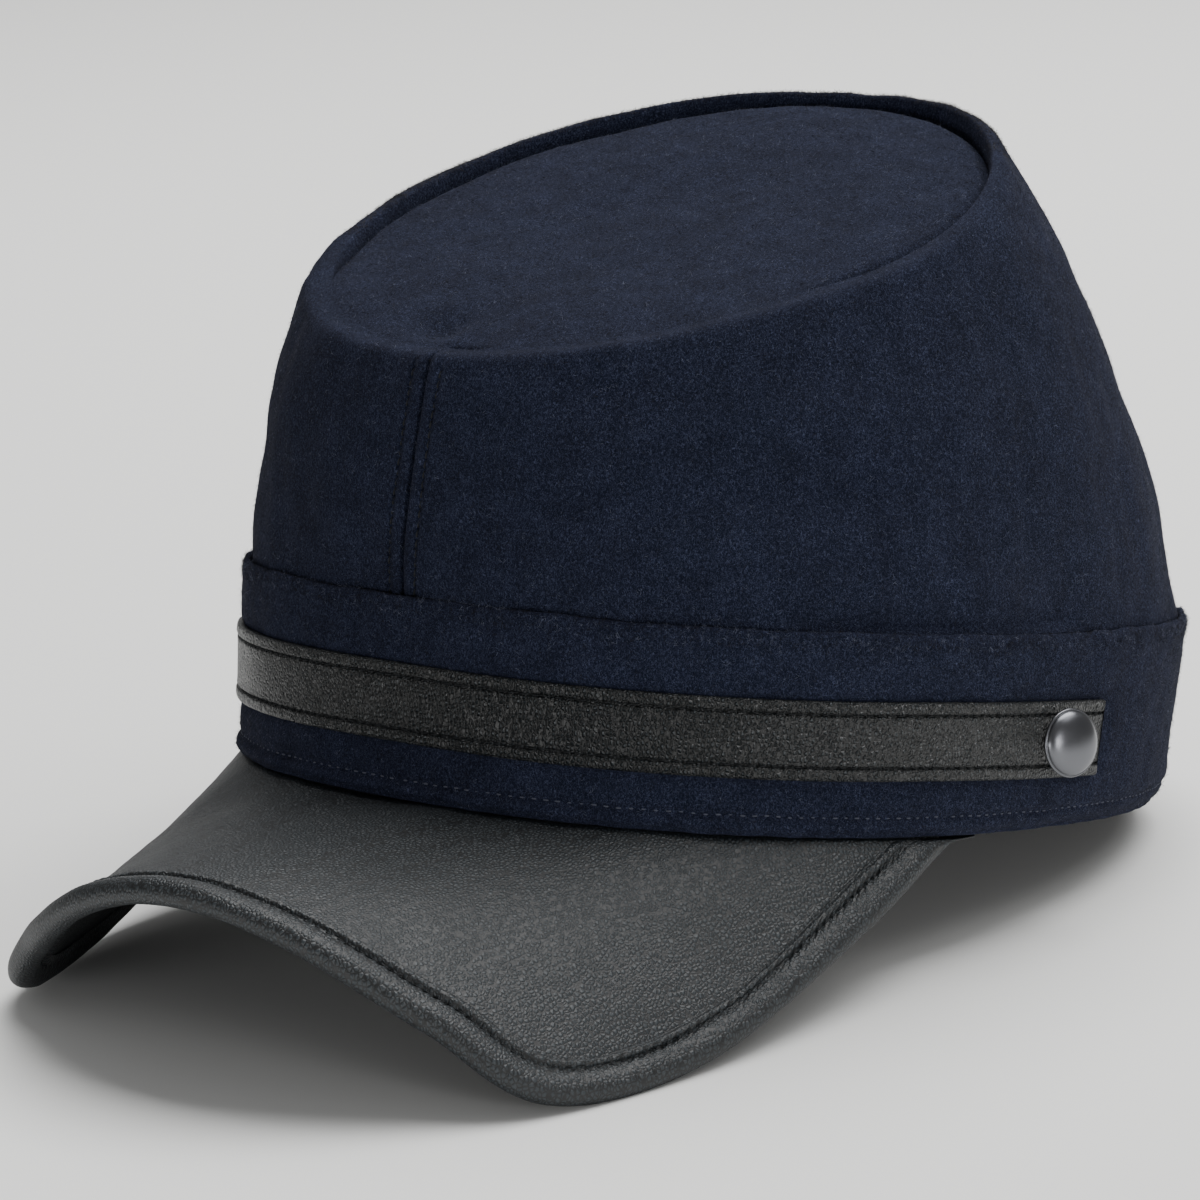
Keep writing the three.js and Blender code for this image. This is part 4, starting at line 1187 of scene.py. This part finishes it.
def paper_floor(finishes):
    """White paper rolled out below the cap along the line of sight and a little to its right,
    in a dimmer room: the paper stays pale where it is seen, the strap's right end reflects it,
    and the grey at both sides keeps black leather deep there."""
    material, tree = new_material("paper_floor")
    place = add_node(tree, "ShaderNodeTexCoord").outputs["Object"]
    aside = Vector((math.cos(CAMERA_AZIMUTH), math.sin(CAMERA_AZIMUTH), 0))
    away = Vector((-math.sin(CAMERA_AZIMUTH), math.cos(CAMERA_AZIMUTH), 0))
    shifted = add_node(tree, "ShaderNodeVectorMath", {1: -PAPER_ASIDE * aside}, {0: place},
                       operation="ADD")
    spans = []
    for span in (aside, away):
        run = add_node(tree, "ShaderNodeVectorMath", {1: span},
                       {0: shifted.outputs["Vector"]}, operation="DOT_PRODUCT")
        spans.append(add_node(tree, "ShaderNodeMath", links={0: run.outputs["Value"]},
                              operation="ABSOLUTE").outputs["Value"])
    beside = add_node(tree, "ShaderNodeMath", {1: -PAPER_GROWTH}, {0: spans[1], 2: spans[0]},
                      operation="MULTIPLY_ADD")
    fade = add_node(tree, "ShaderNodeMapRange",
                    {"From Min": PAPER_FADE[0], "From Max": PAPER_FADE[1]},
                    {"Value": beside.outputs["Value"]}, interpolation_type="SMOOTHSTEP")
    tone = add_node(tree, "ShaderNodeMix", data_type="RGBA")
    tree.links.new(fade.outputs["Result"], tone.inputs["Factor"])
    tone.inputs[6].default_value = finishes.floor
    tone.inputs[7].default_value = finishes.room
    finish_material(tree, {"Roughness": 0.9, "Specular IOR Level": 0.1},
                    {"Base Color": tone.outputs[2]})
    return material


class KEPI_OT_stage(bpy.types.Operator):
    """Adds the floor, the soft lights and the photograph's camera"""

    bl_idname = "kepi.stage"
    bl_label = "Studio stage"

    def execute(self, context):
        flat_floor(FLOOR_SIZE, paper_floor(context.scene.kepi_finishes))
        world = bpy.data.worlds.new("studio")
        world.use_nodes = True
        sky = world.node_tree.nodes["Background"]
        sky.inputs["Color"].default_value = hex_colour("#ffffff")
        sky.inputs["Strength"].default_value = SKY_STRENGTH
        context.scene.world = world
        for light in LIGHTS:
            area_light(**light)
        look = -Vector((math.sin(CAMERA_AZIMUTH) * math.cos(CAMERA_ELEVATION),
                        -math.cos(CAMERA_AZIMUTH) * math.cos(CAMERA_ELEVATION),
                        math.sin(CAMERA_ELEVATION)))
        level = look.cross(Vector((0, 0, 1))).normalized()
        upright = level.cross(look)
        right = level * math.cos(CAMERA_ROLL) + upright * math.sin(CAMERA_ROLL)
        up = upright * math.cos(CAMERA_ROLL) - level * math.sin(CAMERA_ROLL)
        lens = bpy.data.cameras.new("camera")
        lens.lens = CAMERA_LENS
        lens.clip_start = 0.05
        lens.clip_end = 50
        camera = bpy.data.objects.new("camera", lens)
        turn = Matrix((right, up, -look)).transposed().to_4x4()
        camera.matrix_world = Matrix.Translation(CAMERA_AIM - look * CAMERA_DISTANCE) @ turn
        context.scene.collection.objects.link(camera)
        context.scene.camera = camera
        return {"FINISHED"}


class KEPI_OT_crown_sides(bpy.types.Operator):
    """Adds the two wool halves of the crown's wall, with their welt"""

    bl_idname = "kepi.crown_sides"
    bl_label = "Crown sides"

    def execute(self, context):
        wool = felted_wool(context.scene.kepi_finishes)
        for side, node in ((1, "crown_side_left"), (-1, "crown_side_right")):
            grid = crown_side_grid(context.scene.kepi_sizes, side)
            add_body("wool_", node, grid, False, wool)
        return {"FINISHED"}


class KEPI_OT_crown_tip(bpy.types.Operator):
    """Adds the oval wool panel on top"""

    bl_idname = "kepi.crown_tip"
    bl_label = "Crown tip"

    def execute(self, context):
        wool = felted_wool(context.scene.kepi_finishes)
        grid = tip_grid(context.scene.kepi_sizes)
        add_body("wool_", "crown_tip", grid, True, wool)
        return {"FINISHED"}


class KEPI_OT_band(bpy.types.Operator):
    """Adds the folded wool band"""

    bl_idname = "kepi.band"
    bl_label = "Band"

    def execute(self, context):
        wool = felted_wool(context.scene.kepi_finishes)
        grid = band_grid(context.scene.kepi_sizes)
        add_body("wool_", "band", grid, True, wool, resting=True)
        return {"FINISHED"}


class KEPI_OT_strap(bpy.types.Operator):
    """Adds the leather strap across the front of the band"""

    bl_idname = "kepi.strap"
    bl_label = "Strap"

    def execute(self, context):
        finishes = context.scene.kepi_finishes
        leather = pebbled_leather(finishes, "fine_black_leather", finishes.fine_pebble,
                                  0.4 * MM, 0.3, 0.46)
        grid = strap_grid(context.scene.kepi_sizes)
        add_body("leather_", "strap", grid, False, leather)
        return {"FINISHED"}


class KEPI_OT_buttons(bpy.types.Operator):
    """Adds the two domed metal buttons"""

    bl_idname = "kepi.buttons"
    bl_label = "Buttons"

    def execute(self, context):
        metal = plated_metal(context.scene.kepi_finishes)
        for side, node in ((1, "button_left"), (-1, "button_right")):
            grid = button_grid(context.scene.kepi_sizes, side)
            add_body("metal_", node, grid, True, metal)
        return {"FINISHED"}


class KEPI_OT_peak(bpy.types.Operator):
    """Adds the curved leather peak and its padded binding"""

    bl_idname = "kepi.peak"
    bl_label = "Peak"

    def execute(self, context):
        sizes = context.scene.kepi_sizes
        finishes = context.scene.kepi_finishes
        leather = pebbled_leather(finishes, "pebbled_black_leather", finishes.pebble,
                                  0.12 * MM, 0.44, 0.22)
        board = stand(peak_grid(sizes))
        seated(lofted("leather_peak", board, False, leather), "visor_panel")
        edge = stand(binding_grid(sizes), resting=True)
        seated(lofted("leather_binding", edge, False, leather), "visor_binding")
        return {"FINISHED"}


class KEPI_OT_stitches(bpy.types.Operator):
    """Adds the stitches of the hem, the strap, both seams and the peak's binding"""

    bl_idname = "kepi.stitches"
    bl_label = "Stitches"

    def execute(self, context):
        sizes = context.scene.kepi_sizes
        finishes = context.scene.kepi_finishes
        black = twisted_thread("black_thread", finishes.black_thread)
        self.hem(sizes, twisted_thread("grey_thread", finishes.grey_thread))
        self.strap(sizes, black)
        self.seam(sizes, black)
        self.binding(sizes, black)
        return {"FINISHED"}

    def hem(self, k, thread):
        """One line round the band over its hem, half sunk in the nap."""
        bearing = stitch_bearings(k, 0, 360, k.band_pitch)
        run = on_face(lambda b: band_face(k, b, HEM + 0 * b), bearing, 0.02 * MM)
        piece = stitch_mesh("hem_stitches", [run], k.band_pitch * 0.3, 0.17 * MM, 0.3 * MM,
                            SEED, thread, scatter=0.16 * MM)
        seated(piece, None)

    def strap(self, k, thread):
        """Two lines along the strap, at the crease inside each border."""
        end = math.degrees(k.strap_end) - 0.5
        bearing = stitch_bearings(k, -end, end, k.strap_pitch)
        runs = []
        for height in (k.strap_lower + k.strap_border, k.strap_upper - k.strap_border):
            runs.append(on_face(lambda b: drifted(strap_face(k, b, height + 0 * b)), bearing,
                                0.02 * MM))
        piece = stitch_mesh("strap_stitches", runs, k.strap_pitch * 0.38, 0.15 * MM, 0.18 * MM,
                            SEED, thread)
        seated(piece, None)

    def seam(self, k, thread):
        """A line on either side of the front seam and of the back one."""
        end = WALL_HEIGHT - 2 * MM
        level = np.arange(0.5 * k.seam_pitch, end, k.seam_pitch) / WALL_HEIGHT
        runs = []
        for centre in (0, 180):
            for side in (-1, 1):
                bearing = centre + side * np.degrees(SEAM_STITCHES / wall_span(level))
                runs.append(stitch_run(crown_face(k, bearing, level),
                                       crown_face(k, bearing, level + 0.004), outward(bearing)))
        piece = stitch_mesh("seam_stitches", runs, k.seam_pitch * 0.3, 0.17 * MM, 0.25 * MM,
                            SEED + 1, thread, scatter=0.2 * MM)
        seated(piece, None)

    def binding(self, k, thread):
        """One line in the groove on each face of the peak's binding."""
        fine = np.linspace(-BINDING_END + 4, BINDING_END - 4, 2001)
        bearing = stitch_middles(fine, edge_turns(k, fine))
        runs = []
        for face in (1, -1):
            place = binding_face(k, bearing, GROOVE + 0 * bearing, face)
            ahead = binding_face(k, bearing + 0.2, GROOVE + 0 * bearing, face)
            away = peak_normal(k, bearing, peak_length(bearing) - GROOVE) * face
            runs.append(stitch_run(place, ahead, away))
        piece = stitch_mesh("binding_stitches", runs, k.peak_pitch * 0.36, 0.17 * MM, 0.2 * MM,
                            SEED, thread)
        seated(piece, None)


class KEPI_OT_nap(bpy.types.Operator):
    """Adds the loose wool fibres that stand off the felted cloth, most at the band's top edge"""

    bl_idname = "kepi.nap"
    bl_label = "Wool nap"

    def execute(self, context):
        k = context.scene.kepi_sizes
        finishes = context.scene.kepi_finishes
        fibre = loose_fibre("loose_wool_fibre", [
            (0.4, finishes.fibre_brown), (0.52, finishes.wool_mid), (0.66, finishes.fibre_pale)])
        # The rim's fibres take a painted glow: a brown tone for the backlit haze of its fuzz
        glow_fibre = loose_fibre("brown_wool_bloom", [
            (0.35, finishes.fibre_brown), (0.65, finishes.fibre_painted_rim_glow)])
        wall_rows, welt_rows = slice(6, 150), slice(112, 128)
        band_rows, band_top_rows = slice(0, 70), slice(58, 70)
        tip_rows = slice(0, 88)
        sides = [stand(crown_side_grid(k, side)[:, wall_rows]) for side in (1, -1)]
        band = stand(band_grid(k)[:, band_rows])
        tip = stand(tip_grid(k)[:, tip_rows])
        bearing = side_bearings()
        welt = [sides[0][bearing > start, welt_rows] for start in (122, 134, 146)]
        welt += [sides[1][bearing > start, welt_rows] for start in (72, 84, 96)]
        for name, patches, share, material in (
                ("crown", sides, 1.0, fibre),
                ("band", [band] + [band[:, band_top_rows]] * 4, 0.75, fibre),
                ("tip", [tip], 0.4, fibre), ("welt", welt, 0.2, glow_fibre)):
            piece = nap_mesh("wool_nap_" + name, patches, int(k.nap_count * share), material)
            seated(piece, None)
        return {"FINISHED"}


class KEPI_PT_panel(bpy.types.Panel):
    """Lists the cap's pieces in the 3D view's sidebar"""

    bl_idname = "KEPI_PT_panel"
    bl_label = "Kepi"
    bl_space_type = "VIEW_3D"
    bl_region_type = "UI"
    bl_category = "Kepi"

    def draw(self, context):
        for operator in OPERATORS:
            self.layout.operator(operator.bl_idname)
        for group in (context.scene.kepi_sizes, context.scene.kepi_finishes):
            column = self.layout.column(align=True)
            for name in group.__annotations__:
                column.prop(group, name)


OPERATORS = (
    KEPI_OT_stage, KEPI_OT_crown_sides, KEPI_OT_crown_tip, KEPI_OT_band, KEPI_OT_strap,
    KEPI_OT_buttons, KEPI_OT_peak, KEPI_OT_stitches, KEPI_OT_nap,
)
CLASSES = (KepiSizes, KepiFinishes, *OPERATORS, KEPI_PT_panel)


def register():
    for one in CLASSES:
        bpy.utils.register_class(one)
    bpy.types.Scene.kepi_sizes = PointerProperty(type=KepiSizes)
    bpy.types.Scene.kepi_finishes = PointerProperty(type=KepiFinishes)


def unregister():
    del bpy.types.Scene.kepi_finishes
    del bpy.types.Scene.kepi_sizes
    for one in reversed(CLASSES):
        bpy.utils.unregister_class(one)


def main():
    """Registers the classes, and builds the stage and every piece."""
    register()
    bpy.ops.kepi.stage()
    bpy.ops.kepi.crown_sides()
    bpy.ops.kepi.crown_tip()
    bpy.ops.kepi.band()
    bpy.ops.kepi.strap()
    bpy.ops.kepi.buttons()
    bpy.ops.kepi.peak()
    bpy.ops.kepi.stitches()
    bpy.ops.kepi.nap()


if __name__ == "__main__":
    main()
